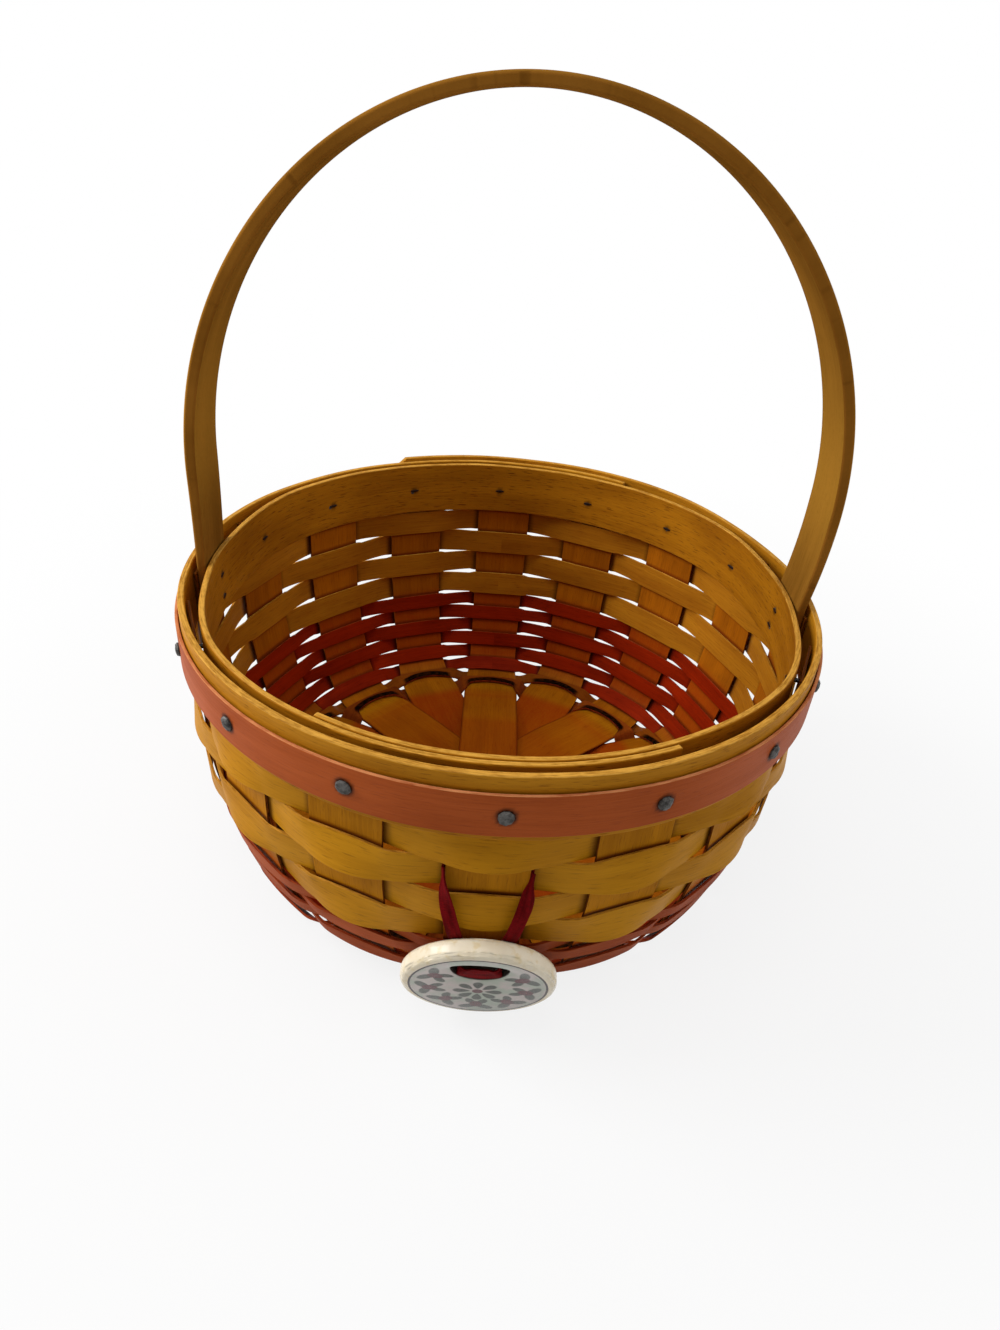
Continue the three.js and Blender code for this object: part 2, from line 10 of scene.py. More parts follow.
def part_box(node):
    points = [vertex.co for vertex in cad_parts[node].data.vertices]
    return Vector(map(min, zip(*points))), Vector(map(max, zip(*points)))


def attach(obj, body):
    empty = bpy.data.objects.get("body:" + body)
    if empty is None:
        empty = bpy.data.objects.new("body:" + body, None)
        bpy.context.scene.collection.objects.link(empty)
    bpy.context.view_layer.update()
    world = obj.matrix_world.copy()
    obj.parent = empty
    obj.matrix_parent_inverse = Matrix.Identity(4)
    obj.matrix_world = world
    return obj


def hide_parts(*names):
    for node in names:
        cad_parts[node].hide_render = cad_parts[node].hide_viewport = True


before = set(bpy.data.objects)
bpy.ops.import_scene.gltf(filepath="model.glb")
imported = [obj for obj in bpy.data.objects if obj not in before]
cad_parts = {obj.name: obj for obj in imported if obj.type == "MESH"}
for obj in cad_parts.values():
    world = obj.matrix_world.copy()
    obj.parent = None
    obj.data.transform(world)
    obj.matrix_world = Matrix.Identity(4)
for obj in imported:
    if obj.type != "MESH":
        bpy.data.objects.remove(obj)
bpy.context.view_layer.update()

MM = 0.001
TURN = 2 * math.pi

# Sizes, in metres. The heights of the rim, the handle and the tag come from the frame.
FIT = 0.3 * MM
BAND_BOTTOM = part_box("inner_rim_band")[0][2]
BASKET_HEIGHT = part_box("inner_rim_band")[1][2]
BAND_HEIGHT = BASKET_HEIGHT - BAND_BOTTOM
RIM_RADIUS = 99.25 * MM
BASE_RADIUS = 74 * MM
BASE_LIFT = 2.6 * MM
HEEL_RADIUS = 13.5 * MM
BELLY_HEIGHT = 54 * MM
BELLY_SWELL = 2 * MM
SWELL_RISE = (4 * MM, 34 * MM)
SWELL_FALL = (44 * MM, BAND_BOTTOM)

ARM_COUNT = 16
STRIP_COUNT = ARM_COUNT // 2
ARM_PITCH = TURN / ARM_COUNT
UPRIGHT_WIDTH = 23 * MM
UPRIGHT_WAIST = 20.6 * MM
UPRIGHT_RIM_WIDTH = 21.6 * MM
WAIST_START = 66 * MM
WAIST_END = 88 * MM
UPRIGHT_THICKNESS = 0.8 * MM
UPRIGHT_DROP = 3 * MM
STAR_FADE = 10 * MM
STACK_ORDER = [7, 3, 5, 1, 6, 2, 4, 0]
SPLINT_EASE = 0.15 * MM
DYE_BLEED = 0.6
BASE_TONES = (0.35, 0.65)
# Painted shade lines on the uprights, beside each row that crosses them and along their seams in the
# base; SEAM_FADE also ends each strip's own tone in the base.
EDGE_LINE = 1.4 * MM
EDGE_LINE_DEPTH = 0.8
SEAM_LINE = 0.9 * MM
SEAM_DEPTH = 0.9
SEAM_FADE = 6 * MM
LINE_CORE = 0.2

NATURAL_COUNT = 4
NATURAL_WIDTH = 9.4 * MM
DYED_COUNT = 6
REED_COUNT = 2
REED_PINCH = 3.2 * MM
REED_FILL = 4 * MM
REED_SHADOW = 2.8 * MM
LOWEST_ROW = 67.5 * MM
WEAVER_THICKNESS = 0.8 * MM
ROW_GAP = 0.35 * MM
ROW_SEAM = 0.1 * MM
NATURAL_CROWN = 1.3 * MM
DYED_CROWN = 0.6 * MM
REED_CROWN = 0.5 * MM
EDGE_MARGIN = 1 * MM
ROW_WANDER = 0.15 * MM
EDGE_WANDER = 0.2 * MM
NATURAL_TILT = 2.5 * MM
DYED_TILT = 0.5 * MM
BACK_TILT = 0.3
CREST_SPREAD = 0.7 * MM
GAP_PINCH = 0.9 * MM
PINCH_MEAN = 0.6
PINCH_SPREAD = 1.5
# How far the painted crevice shade on a row reaches beside an upright
CREVICE_SHADE_REACH = 2.6 * MM
FRONT_DROP = 4.2 * MM
DROP_POWER = 1.2

OUTER_BAND_THICKNESS = 2 * MM
INNER_BAND_THICKNESS = 1.8 * MM
BAND_EASE = 0.45 * MM
BAND_LEAN = 0.12 * MM
BAND_WAVE = 0.25 * MM
LAP_RAMP = math.radians(42)
INNER_LAP_START = math.radians(-62)
INNER_LAP = math.radians(57)
OUTER_LAP_START = math.radians(61)
OUTER_LAP = math.radians(57)
OUTER_LAP_RISE = 1.2 * MM
LAP_CORNER = 6 * MM
CORNER_FOOT = 0.75
CORNER_SHARE = 0.03
TRIM_HEIGHT = 13 * MM
TRIM_THICKNESS = 1 * MM
TRIM_DROP = 4.6 * MM
TRIM_SETTLE = math.radians(16)
TRIM_EASE = 0.3 * MM

HANDLE_WIDTH = 21 * MM
HANDLE_THICKNESS = 3.4 * MM
HANDLE_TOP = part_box("hoop_handle")[1][2]
HANDLE_SPLAY = 0.8 * MM
HANDLE_LEAN = 1.25 * MM
HANDLE_SPRING = 28 * MM
HANDLE_EDGE = 1 * MM
LEG_SHEEN = 0.6
FOOT_THICKNESS = 2.8 * MM
FOOT_LIFT = 1 * MM
FOOT_EASE = math.radians(30)

NAIL_HEAD_RADIUS = 2.1 * MM
NAIL_HEAD_HEIGHT = 1.1 * MM
NAIL_HEAD_SIDES = 9
NAIL_SHANK_RADIUS = 0.7 * MM
NAIL_TURN = math.radians(1.6)
HANDLE_NAIL_PITCH = 7 * MM
HAMMER_DENT = 0.14
CLINCH_LENGTH = 1.8 * MM
CLINCH_HEIGHT = 0.5 * MM
CLINCH_PROUD = 0.3 * MM
CLINCH_STRAY = 2.5 * MM
HEAD_STAIN = 3.3 * MM
TIP_STAIN = 2.3 * MM
TIP_STAIN_CORE = 0.3

RIBBON_WIDTH = 3.8 * MM
RIBBON_THICKNESS = 0.5 * MM
RIBBON_EASE = 0.1 * MM
RIBBON_CUP = 0.1 * MM
RIBBON_LEAN = 1 * MM
RIBBON_CORNER = 0.4 * MM
LOOP_STEPS = 12
CORD_STEPS = 48
SLOT_POINT = 3
SLOT_NARROWS = (-7 * MM, 0)
SLOT_WIDENS = (3 * MM, 7 * MM)
BIGHT_WIDENS = (5 * MM, 9 * MM)
RIBBON_TWIST = math.radians(66)
TWIST_HOLD = 2 * MM
TWIST_FADE = 15 * MM
TOP_GATHER = 0.56
GATHER_FADE = 7 * MM
TIED_ARM = STRIP_COUNT
TIED_ROW = 1
BIGHT_REACH = 5.8 * MM
BIGHT_SAG = 2.6 * MM
BIGHT_FORWARD = 2.2 * MM
BIGHT_IN_SLOT = math.radians(62)
BIGHT_BEHIND = math.radians(84)
BIGHT_CRUMPLE = 0.35
BIGHT_SPREAD = 1.65

TAG_RADIUS = 21.5 * MM
TAG_THICKNESS = 5.6 * MM
TAG_SHOULDER = 2 * MM
TAG_TILT = math.radians(16.5)
TAG_SIDES = 128
SLOT_WIDTH = 15.6 * MM
SLOT_DEPTH = 7.4 * MM
SLOT_ARCH = 2.5 * MM
SLOT_EASE = 0.5 * MM
SLOT_BRIDGE = 6.2 * MM
SPRIG_COUNT = 9
SPRIG_RING = 13.4 * MM
LEAF_SIDE = 2 * MM
LEAF_RISE = 1 * MM
LEAF_SIZE = (2.2 * MM, 1.8 * MM)
LEAF_LEAN = 0.5
BERRY_SIZE = (1.9 * MM, 2.4 * MM)
ROSETTE_COUNT = 8
ROSETTE_RING = 4.4 * MM
ROSETTE_DROP = 3.2 * MM
PETAL_SIZE = (1.4 * MM, 2.6 * MM)
LINE_RADIUS = TAG_RADIUS - TAG_SHOULDER - 0.6 * MM

# How finely each blank is divided, along it and across it
UPRIGHT_GRID = (480, 24)
ROW_GRID = (40 * ARM_COUNT, 12)
INNER_BAND_GRID = (700, 18)
OUTER_BAND_GRID = (480, 8)
TRIM_GRID = (640, 16)
HANDLE_GRID = (240, 6)
LOOP_GRID = (160, 6)
TIE_GRID = (90, 4)


# Curves and places

def smoothstep(value, low, high):
    share = min(max((value - low) / (high - low), 0.0), 1.0)
    return share * share * (3 - 2 * share)


def hump(value, rise, fall):
    """Rises from 0 to 1 over the first range and falls back over the second."""
    return smoothstep(value, *rise) * (1 - smoothstep(value, *fall))


def hermite(start, slope_in, end, slope_out, share):
    """A place on the smooth curve that leaves start and reaches end with the given slopes."""
    cubic = (start - end) * 2 + slope_in + slope_out
    square = (end - start) * 3 - slope_in * 2 - slope_out
    return ((cubic * share + square) * share + slope_in) * share + start


class Route:
    """A line through points, read by the distance along it."""

    def __init__(self, points):
        self.points = points
        self.marks = [0.0]
        for here, there in zip(points, points[1:]):
            self.marks.append(self.marks[-1] + (there - here).length)
        self.length = self.marks[-1]

    def at(self, distance):
        distance = min(max(distance, 0.0), self.length)
        i = min(bisect_right(self.marks, distance), len(self.points) - 1)
        span = self.marks[i] - self.marks[i - 1]
        return self.points[i - 1].lerp(self.points[i], (distance - self.marks[i - 1]) / span)

    def heading(self, distance, step=0.2 * MM):
        ahead = self.at(distance + step)
        return (ahead - self.at(distance - step)).normalized()


def smooth_route(points, steps):
    """A smooth line through points, with slopes that allow for uneven spacing."""
    ends = [points[0] * 2 - points[1]] + points + [points[-1] * 2 - points[-2]]
    line = []
    for before, start, end, after in zip(ends, ends[1:], ends[2:], ends[3:]):
        lag = math.sqrt((start - before).length)
        span = math.sqrt((end - start).length)
        lead = math.sqrt((after - end).length)
        slope_in = ((start - before) / lag - (end - before) / (lag + span)) * span + end - start
        slope_out = ((after - end) / lead - (after - start) / (span + lead)) * span + end - start
        for step in range(steps):
            line.append(hermite(start, slope_in, end, slope_out, step / steps))
    return Route(line + [points[-1]])


def polar(radius, angle, z):
    return Vector((radius * math.cos(angle), radius * math.sin(angle), z))


def arm_angle(arm):
    return math.pi / 2 - arm * ARM_PITCH


def round_waver(angle, seed, turns=3.0):
    """A small smooth wander between -1 and 1 that closes on itself round the basket."""
    return noise.noise(Vector((turns * math.cos(angle), turns * math.sin(angle), 7.3 * seed)))


# The wall: from the base's middle, round the heel and up to the rim

RIM_INSIDE = RIM_RADIUS - OUTER_BAND_THICKNESS
RIM_CHORD = UPRIGHT_RIM_WIDTH ** 2 / (8 * RIM_INSIDE)
WALL_RADIUS = RIM_INSIDE - FIT - RIM_CHORD - UPRIGHT_THICKNESS / 2
BASE_LEVEL = BASE_LIFT + UPRIGHT_THICKNESS / 2
HEEL_STEPS = 40
SIDE_STEPS = 80


def wall_line():
    heel_centre = Vector((BASE_RADIUS, BASE_LEVEL + HEEL_RADIUS))
    belly = Vector((WALL_RADIUS, BELLY_HEIGHT))
    rim = Vector((WALL_RADIUS, BAND_BOTTOM))
    reach = belly - heel_centre
    heel_turn = math.atan2(reach.y, reach.x) + math.asin(HEEL_RADIUS / reach.length)
    line = [Vector((0, BASE_LEVEL))]
    for i in range(HEEL_STEPS + 1):
        turn = heel_turn * i / HEEL_STEPS
        line.append(heel_centre + Vector((math.sin(turn), -math.cos(turn))) * HEEL_RADIUS)
    heel_end = line[-1]
    for i in range(1, SIDE_STEPS + 1):
        share = i / SIDE_STEPS
        line.append(heel_end.lerp(belly, share).lerp(belly.lerp(rim, share), share))
    line.append(Vector((WALL_RADIUS, BASKET_HEIGHT)))
    return Route([Vector((p.x + BELLY_SWELL * hump(p.y, SWELL_RISE, SWELL_FALL), p.y)) for p in line])


wall = wall_line()
RIM_START = wall.length - BAND_HEIGHT
HEEL_END = wall.marks[HEEL_STEPS + 1]


def beside_wall(path, out, angle, along=0.0):
    """A place by distance along the wall, offset outwards, angle round the basket and step along it."""
    spot = wall.at(path)
    slope = wall.heading(path)
    r = spot.x + out * slope.y + along * slope.x
    z = spot.y - out * slope.x + along * slope.y
    return polar(r, angle, z)


# Pieces bent from flat blanks

def add_object(name, data):
    added = bpy.data.objects.new(name, data)
    bpy.context.scene.collection.objects.link(added)
    return added


def add_mesh(name, bm, materials):
    mesh = bpy.data.meshes.new(name)
    bm.to_mesh(mesh)
    bm.free()
    for material in materials:
        mesh.materials.append(material)
    return add_object(name, mesh)


def new_piece(name, bm, materials, body, node, smooth=True):
    bmesh.ops.recalc_face_normals(bm, faces=bm.faces)
    for face in bm.faces:
        face.smooth = smooth
    piece = add_mesh(name, bm, materials)
    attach(piece, body)
    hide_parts(node)
    return piece


def blank(length, width, grid, place, seed, closed=False, tint=None, crevice_shade=None):
    """A flat strip with its grain along it, bent into place. Its UVs stay those of the flat strip.

    tint gives each bent point a share between 0 and 1 of its material's second colour, and the crevice
    function how much painted shade it gets from the crevice it lies in. On a weaver a value above 0
    shows on the outer face, and one below 0 on the inner.
    """
    bm = bmesh.new()
    uv = bm.loops.layers.uv.new("blank")
    share = bm.verts.layers.float.new("tint")
    crevice = bm.verts.layers.float.new("crevice_shade")
    bmesh.ops.create_grid(bm, x_segments=grid[0], y_segments=grid[1], size=0.5)
    start = Vector((0.37, 0.11)) * seed
    for face in bm.faces:
        for loop in face.loops:
            co = loop.vert.co
            loop[uv].uv = start + Vector((length * (co.x + 0.5), width * co.y))
    for vert in bm.verts:
        along, across = vert.co.x + 0.5, vert.co.y
        vert.co = place(along, across)
        if tint:
            vert[share] = tint(vert.co, along, across)
        if crevice_shade:
            vert[crevice] = crevice_shade(vert.co, along, across)
    if closed:
        bmesh.ops.remove_doubles(bm, verts=bm.verts, dist=0.001 * MM)
    return bm


def thicken(piece, thickness, ease, segments=2):
    shell = piece.modifiers.new("thickness", "SOLIDIFY")
    shell.thickness = thickness
    shell.offset = 0.0
    shell.use_even_offset = True
    shell.material_offset_rim = 1
    soft = piece.modifiers.new("eased_edges", "BEVEL")
    soft.width = ease
    soft.segments = segments
    soft.limit_method = "ANGLE"
    soft.angle_limit = math.radians(50)
    soft.harden_normals = True
    return shell


# Shader helpers

def colour(code):
    """Linear colour from a six-digit sRGB code."""
    channels = [int(code[i:i + 2], 16) / 255 for i in (0, 2, 4)]
    return [c / 12.92 if c <= 0.04045 else ((c + 0.055) / 1.055) ** 2.4 for c in channels] + [1.0]


class Nodes:
    """Adds nodes to one tree. An input is a socket to link or a plain value."""

    def __init__(self, tree):
        self.tree = tree

    def feed(self, node, inputs):
        for name, value in inputs.items():
            if isinstance(value, bpy.types.NodeSocket):
                self.tree.links.new(value, node.inputs[name])
            else:
                node.inputs[name].default_value = value

    def add(self, kind, inputs=None, **settings):
        node = self.tree.nodes.new(kind)
        for name, value in settings.items():
            setattr(node, name, value)
        self.feed(node, inputs or {})
        return node

    def place(self):
        return self.add("ShaderNodeTexCoord").outputs["Object"]

    def flat(self, uv_map="blank"):
        return self.add("ShaderNodeUVMap", uv_map=uv_map).outputs["UV"]

    def layer(self, name):
        return self.add("ShaderNodeAttribute", attribute_name=name).outputs["Fac"]

    def math(self, operation, a, b=0.0):
        return self.add("ShaderNodeMath", {0: a, 1: b}, operation=operation).outputs[0]

    def vector(self, operation, a, b=(0, 0, 0)):
        node = self.add("ShaderNodeVectorMath", {0: a, 1: b}, operation=operation)
        return node.outputs["Value" if operation in ("DOT_PRODUCT", "LENGTH") else "Vector"]

    def split(self, vector):
        return self.add("ShaderNodeSeparateXYZ", {"Vector": vector}).outputs

    def join(self, x, y, z=0.0):
        return self.add("ShaderNodeCombineXYZ", {"X": x, "Y": y, "Z": z}).outputs[0]

    def sum(self, *parts):
        """The sum of values, each times its share."""
        products = [self.math("MULTIPLY", value, share) for value, share in parts]
        total = products[0]
        for product in products[1:]:
            total = self.math("ADD", total, product)
        return total

    def noise(self, vector, scale, detail=3.0, roughness=0.55):
        values = {"Vector": vector, "Scale": scale, "Detail": detail, "Roughness": roughness}
        return self.add("ShaderNodeTexNoise", values).outputs["Fac"]

    def streaks(self, flat, stretch, detail, roughness=0.55):
        """Noise drawn out along the grain."""
        return self.noise(self.vector("MULTIPLY", flat, stretch), 1.0, detail, roughness)

    def span(self, value, low, high, to_low=0.0, to_high=1.0):
        values = {"Value": value, "From Min": low, "From Max": high, "To Min": to_low, "To Max": to_high}
        return self.add("ShaderNodeMapRange", values, interpolation_type="SMOOTHSTEP").outputs["Result"]

    def mix(self, share, a, b, blend="MIX"):
        values = {"Factor": share, 6: a, 7: b}
        return self.add("ShaderNodeMix", values, data_type="RGBA", blend_type=blend).outputs[2]

    def bump(self, height, strength, distance):
        values = {"Height": height, "Strength": strength, "Distance": distance}
        return self.add("ShaderNodeBump", values).outputs[0]


def new_group(name, inputs, outputs):
    tree = bpy.data.node_groups.new(name, "ShaderNodeTree")
    for label, kind in inputs.items():
        tree.interface.new_socket(label, in_out="INPUT", socket_type=f"NodeSocket{kind}")
    for label, kind in outputs.items():
        tree.interface.new_socket(label, in_out="OUTPUT", socket_type=f"NodeSocket{kind}")
    nodes = Nodes(tree)
    return tree, nodes, nodes.add("NodeGroupInput").outputs, nodes.add("NodeGroupOutput")


def new_material(name):
    material = bpy.data.materials.new(name)
    material.use_nodes = True
    nodes = Nodes(material.node_tree)
    return material, nodes, material.node_tree.nodes["Principled BSDF"]


def wood_grain_group():
    """Fibres, broad tone bands and short dark pores that run along a splint."""
    tree, nodes, given, result = new_group(
        "wood_grain",
        {"Blank": "Vector", "Pale": "Color", "Deep": "Color", "Pores": "Float"},
        {"Color": "Color", "Height": "Float", "Gloss": "Float"})
    flat = given["Blank"]
    fibres = nodes.streaks(flat, (55, 1500, 1), 5.0, 0.65)
    bands = nodes.streaks(flat, (9, 190, 1), 3.0, 0.5)
    patches = nodes.streaks(flat, (26, 40, 1), 2.0, 0.5)
    pores = nodes.span(nodes.streaks(flat, (190, 2300, 1), 2.0, 0.5), 0.57, 0.70)
    tone = nodes.sum((fibres, 0.30), (bands, 0.30), (patches, 0.40))
    wood = nodes.mix(nodes.span(tone, 0.33, 0.67), given["Deep"], given["Pale"])
    dark = nodes.mix(1.0, given["Deep"], (0.45, 0.38, 0.32, 1), "MULTIPLY")
    nodes.feed(result, {
        "Color": nodes.mix(nodes.math("MULTIPLY", pores, given["Pores"]), wood, dark),
        "Height": nodes.math("SUBTRACT", fibres, nodes.math("MULTIPLY", pores, 0.6)),
        "Gloss": nodes.span(tone, 0.3, 0.7, 0.56, 0.44),
    })
    return tree


def out_side_group():
    """1 on faces that look away from the basket's middle, 0 on those that look in."""
    tree, nodes, given, result = new_group("out_side", {}, {"Out": "Float"})
    from_middle = nodes.vector("MULTIPLY", nodes.place(), (1, 1, -0.3))
    normal = nodes.add("ShaderNodeNewGeometry").outputs["Normal"]
    away = nodes.vector("DOT_PRODUCT", from_middle, normal)
    nodes.feed(result, {"Out": nodes.span(away, -0.005, 0.005)})
    return tree


wood_grain = wood_grain_group()
out_side = out_side_group()


def splint_material(name, pale, deep, inside=None, tint=None, crevice_shade=None, line=None, pores=0.4,
                    bump=0.25, gloss=0.05):
    """Oiled splint with its grain along the blank.

    inside holds the colours of its inner face. tint and the crevice colour are mixed in by the blank's
    layers of the same names; the crevice colour is painted shade where rows and uprights cross. line is
    painted shade as well, and takes the place of the crevice colour where both faces share one layer.
    """
    material, nodes, shader = new_material(name)
    pale, deep = colour(pale), colour(deep)
    if inside:
        out = nodes.add("ShaderNodeGroup", node_tree=out_side).outputs["Out"]
        pale = nodes.mix(out, colour(inside[0]), pale)
        deep = nodes.mix(out, colour(inside[1]), deep)
    values = {"Blank": nodes.flat(), "Pale": pale, "Deep": deep, "Pores": pores}
    grain = nodes.add("ShaderNodeGroup", values, node_tree=wood_grain).outputs
    wood = grain["Color"]
    if tint:
        speck = nodes.noise(nodes.place(), 900.0)
        share = nodes.math("MULTIPLY", nodes.layer("tint"), nodes.span(speck, 0.25, 0.6, 0.8, 1.0))
        wood = nodes.mix(share, wood, colour(tint))
    if crevice_shade:
        facing = nodes.span(out, 0, 1, -0.8, 0.8)
        share = nodes.math("MAXIMUM", nodes.math("MULTIPLY", nodes.layer("crevice_shade"), facing), 0.0)
        wood = nodes.mix(share, wood, colour(crevice_shade))
    if line:
        wood = nodes.mix(nodes.layer("crevice_shade"), wood, colour(line))
    nodes.feed(shader, {
        "Base Color": wood,
        "Roughness": grain["Gloss"],
        "Normal": nodes.bump(grain["Height"], bump, 0.15 * MM),
        "Specular IOR Level": gloss,
    })
    return material


def cut_edge_material(name, pale, deep):
    """The sawn edge of a splint: pale fibres with fine dark flecks along it."""
    material, nodes, shader = new_material(name)
    place = nodes.place()
    from_axis = nodes.vector("LENGTH", nodes.vector("MULTIPLY", place, (1, 1, 0)))
    cut = nodes.join(nodes.split(nodes.flat())["X"], from_axis, nodes.split(place)["Z"])
    fibres = nodes.streaks(cut, (110, 2600, 500), 4.0, 0.65)
    flecks = nodes.streaks(cut, (380, 1500, 300), 3.0, 0.6)
    tone = nodes.sum((fibres, 0.5), (nodes.noise(place, 90.0, 2.0), 0.2), (flecks, 0.3))
    nodes.feed(shader, {
        "Base Color": nodes.mix(nodes.span(tone, 0.36, 0.6), colour(deep), colour(pale)),
        "Roughness": 0.6,
        "Specular IOR Level": 0.05,
        "Normal": nodes.bump(fibres, 0.5, 0.2 * MM),
    })
    return material


# The crevice colours of the natural and dyed rows are painted shade where an upright hides a row.
natural_wood = splint_material("natural_wood", "c88a14", "ac700a", inside=("c0801c", "9c5e10"),
                               crevice_shade="4c2004")
# On the uprights the red tint is dye run in from the dyed rows and each strip's own tone in the base;
# the line colour is painted shade beside the rows and painted shadow along the base seams.
upright_wood = splint_material("upright_wood", "c48010", "a0640a", inside=("b86a0e", "925009"),
                               tint="a42c06", line="6a2206", gloss=0.03)
dyed_wood = splint_material("dyed_wood", "b0562c", "8e3c1a", inside=("a42a07", "781a04"),
                            crevice_shade="2c0a03", gloss=0.02)
# The reeds' near-black tint is a painted shadow along their inner edge where they cross an arm on the
# inside.
reed_wood = splint_material("reed_wood", "98381a", "6e220c", inside=("965012", "783a0a"),
                            tint="040201", gloss=0.02)
inner_band_wood = splint_material("inner_band_wood", "b87814", "92580a", tint="1a0d05", pores=0.8,
                                  bump=0.4)
outer_band_wood = splint_material("outer_band_wood", "c8881c", "a46810", pores=0.6, bump=0.4)
trim_wood = splint_material("trim_wood", "b65620", "9a4311", tint="1c100a", pores=0.25, gloss=0.08)
# The handle's paler tint is painted sheen on its legs.
handle_wood = splint_material("handle_wood", "a06e28", "7e541a", tint="c89234", gloss=0.0)
handle_edge = splint_material("handle_edge", "a46c26", "825218", gloss=0.0)
natural_edge = cut_edge_material("natural_edge", "d49838", "8f5c14")
upright_edge = cut_edge_material("upright_edge", "7a420e", "3c1a06")
dyed_edge = cut_edge_material("dyed_edge", "a0421c", "5d1c0a")
band_edge = cut_edge_material("band_edge", "d49c40", "946018")
trim_edge = cut_edge_material("trim_edge", "cc8656", "a65a34")


# Uprights: neighbours lie in two layers round the base. At its middle all eight are stacked, and
# the lower ones dip to the table.

LAYER = UPRIGHT_THICKNESS + FIT
STACK_DIP = BASE_LIFT / LAYER
PETAL_RADIUS = UPRIGHT_WIDTH / 2 / math.sin(ARM_PITCH / 2)
STAR_RADIUS = UPRIGHT_WIDTH / 2 / math.sin(ARM_PITCH)
STAR_LAG = UPRIGHT_WIDTH * math.tan(ARM_PITCH / 2)
UPRIGHT_REACH = wall.length - UPRIGHT_DROP

# Rows: the natural ones hang from the rim, and the dyed ones and the reeds share the rest.

WEAVE_TOP = RIM_START - 2 * ROW_GAP
NATURAL_PITCH = NATURAL_WIDTH + ROW_GAP
DYED_TOP = WEAVE_TOP - NATURAL_COUNT * NATURAL_PITCH
DYED_PITCH = (DYED_TOP - LOWEST_ROW) / (DYED_COUNT + REED_COUNT)
DYED_BOTTOM = DYED_TOP - DYED_COUNT * DYED_PITCH
SETTLE_START = WEAVE_TOP - 0.8 * NATURAL_PITCH
DYE_STARTS = (DYED_BOTTOM, DYED_BOTTOM + 9 * MM)
DYE_ENDS = (DYED_TOP - 3 * MM, DYED_TOP + 4 * MM)
ROW_EDGES = [WEAVE_TOP - i * NATURAL_PITCH for i in range(NATURAL_COUNT)]
ROW_EDGES += [DYED_TOP - i * DYED_PITCH for i in range(DYED_COUNT + 1)]


def settled(path, angle):
    """Where a place in the weave has slid to: at the front the natural rows sit a little lower."""
    if path > DYED_TOP:
        slide = (max(SETTLE_START - path, 0) / (SETTLE_START - DYED_TOP)) ** DROP_POWER
    else:
        slide = max(path - LOWEST_ROW, 0) / (DYED_TOP - LOWEST_ROW)
    return path - FRONT_DROP * slide * smoothstep(-math.sin(angle), 0.1, 0.85)


def layers_up(strip, path):
    rank = STACK_ORDER[strip] - STACK_DIP
    if strip % 2 == 1:
        return rank * (1 - smoothstep(path, STAR_RADIUS, PETAL_RADIUS - STAR_LAG))
    edge = 1 - smoothstep(path, PETAL_RADIUS, PETAL_RADIUS + STAR_FADE)
    return edge + (rank - 1) * (1 - smoothstep(path, STAR_RADIUS + STAR_LAG, PETAL_RADIUS))


def upright_width(path):
    waist = smoothstep(path, WAIST_START, WAIST_END)
    flare = smoothstep(path, HEEL_END, RIM_START)
    narrowed = UPRIGHT_WIDTH + (UPRIGHT_WAIST - UPRIGHT_WIDTH) * waist
    return narrowed + (UPRIGHT_RIM_WIDTH - UPRIGHT_WAIST) * flare


def bend_upright(strip):
    angle = arm_angle(strip)
    side = polar(1, angle + math.pi / 2, 0)

    def place(along, across):
        signed = (2 * along - 1) * UPRIGHT_REACH
        path = abs(signed)
        out = polar(math.copysign(1, signed), angle, 0)
        spot = wall.at(path)
        slope = wall.heading(path) if path > MM else Vector((1, 0))
        lift = LAYER * layers_up(strip, path)
        middle = out * (spot.x - lift * slope.y)
        middle.z = spot.y + lift * slope.x
        return middle + side * (across * upright_width(path))

    return place


def on_base(path):
    return 1 - smoothstep(path, LOWEST_ROW - SEAM_FADE, LOWEST_ROW)


def stained(strip):
    """An upright's share of red: the dye that has run into it, and its own tone in the base."""
    tone = BASE_TONES[strip % 2]

    def tint(point, along, across):
        path = abs(2 * along - 1) * UPRIGHT_REACH
        return max(DYE_BLEED * hump(path, DYE_STARTS, DYE_ENDS), tone * on_base(path))

    return tint


def shade_lines(point, along, across):
    """Painted shade lines on an upright beside each row that crosses it, and painted shadow lines along
    its seams in the base.
    """
    path = abs(2 * along - 1) * UPRIGHT_REACH
    angle = math.atan2(point.y, point.x)
    near = min(abs(path - settled(edge, angle)) for edge in ROW_EDGES)
    line = EDGE_LINE_DEPTH * (1 - smoothstep(near, LINE_CORE * EDGE_LINE, EDGE_LINE))
    from_side = (0.5 - abs(across)) * upright_width(path)
    seam = SEAM_DEPTH * (1 - smoothstep(from_side, LINE_CORE * SEAM_LINE, SEAM_LINE))
    return max(line, seam * on_base(path))


def make_uprights():
    for strip in range(STRIP_COUNT):
        bm = blank(2 * UPRIGHT_REACH, UPRIGHT_WIDTH, UPRIGHT_GRID, bend_upright(strip), strip,
                   tint=stained(strip), crevice_shade=shade_lines)
        piece = new_piece(f"bent_upright_{strip + 1}", bm, [upright_wood, upright_edge],
                          "basket", f"upright_{strip + 1}")
        thicken(piece, UPRIGHT_THICKNESS, SPLINT_EASE)


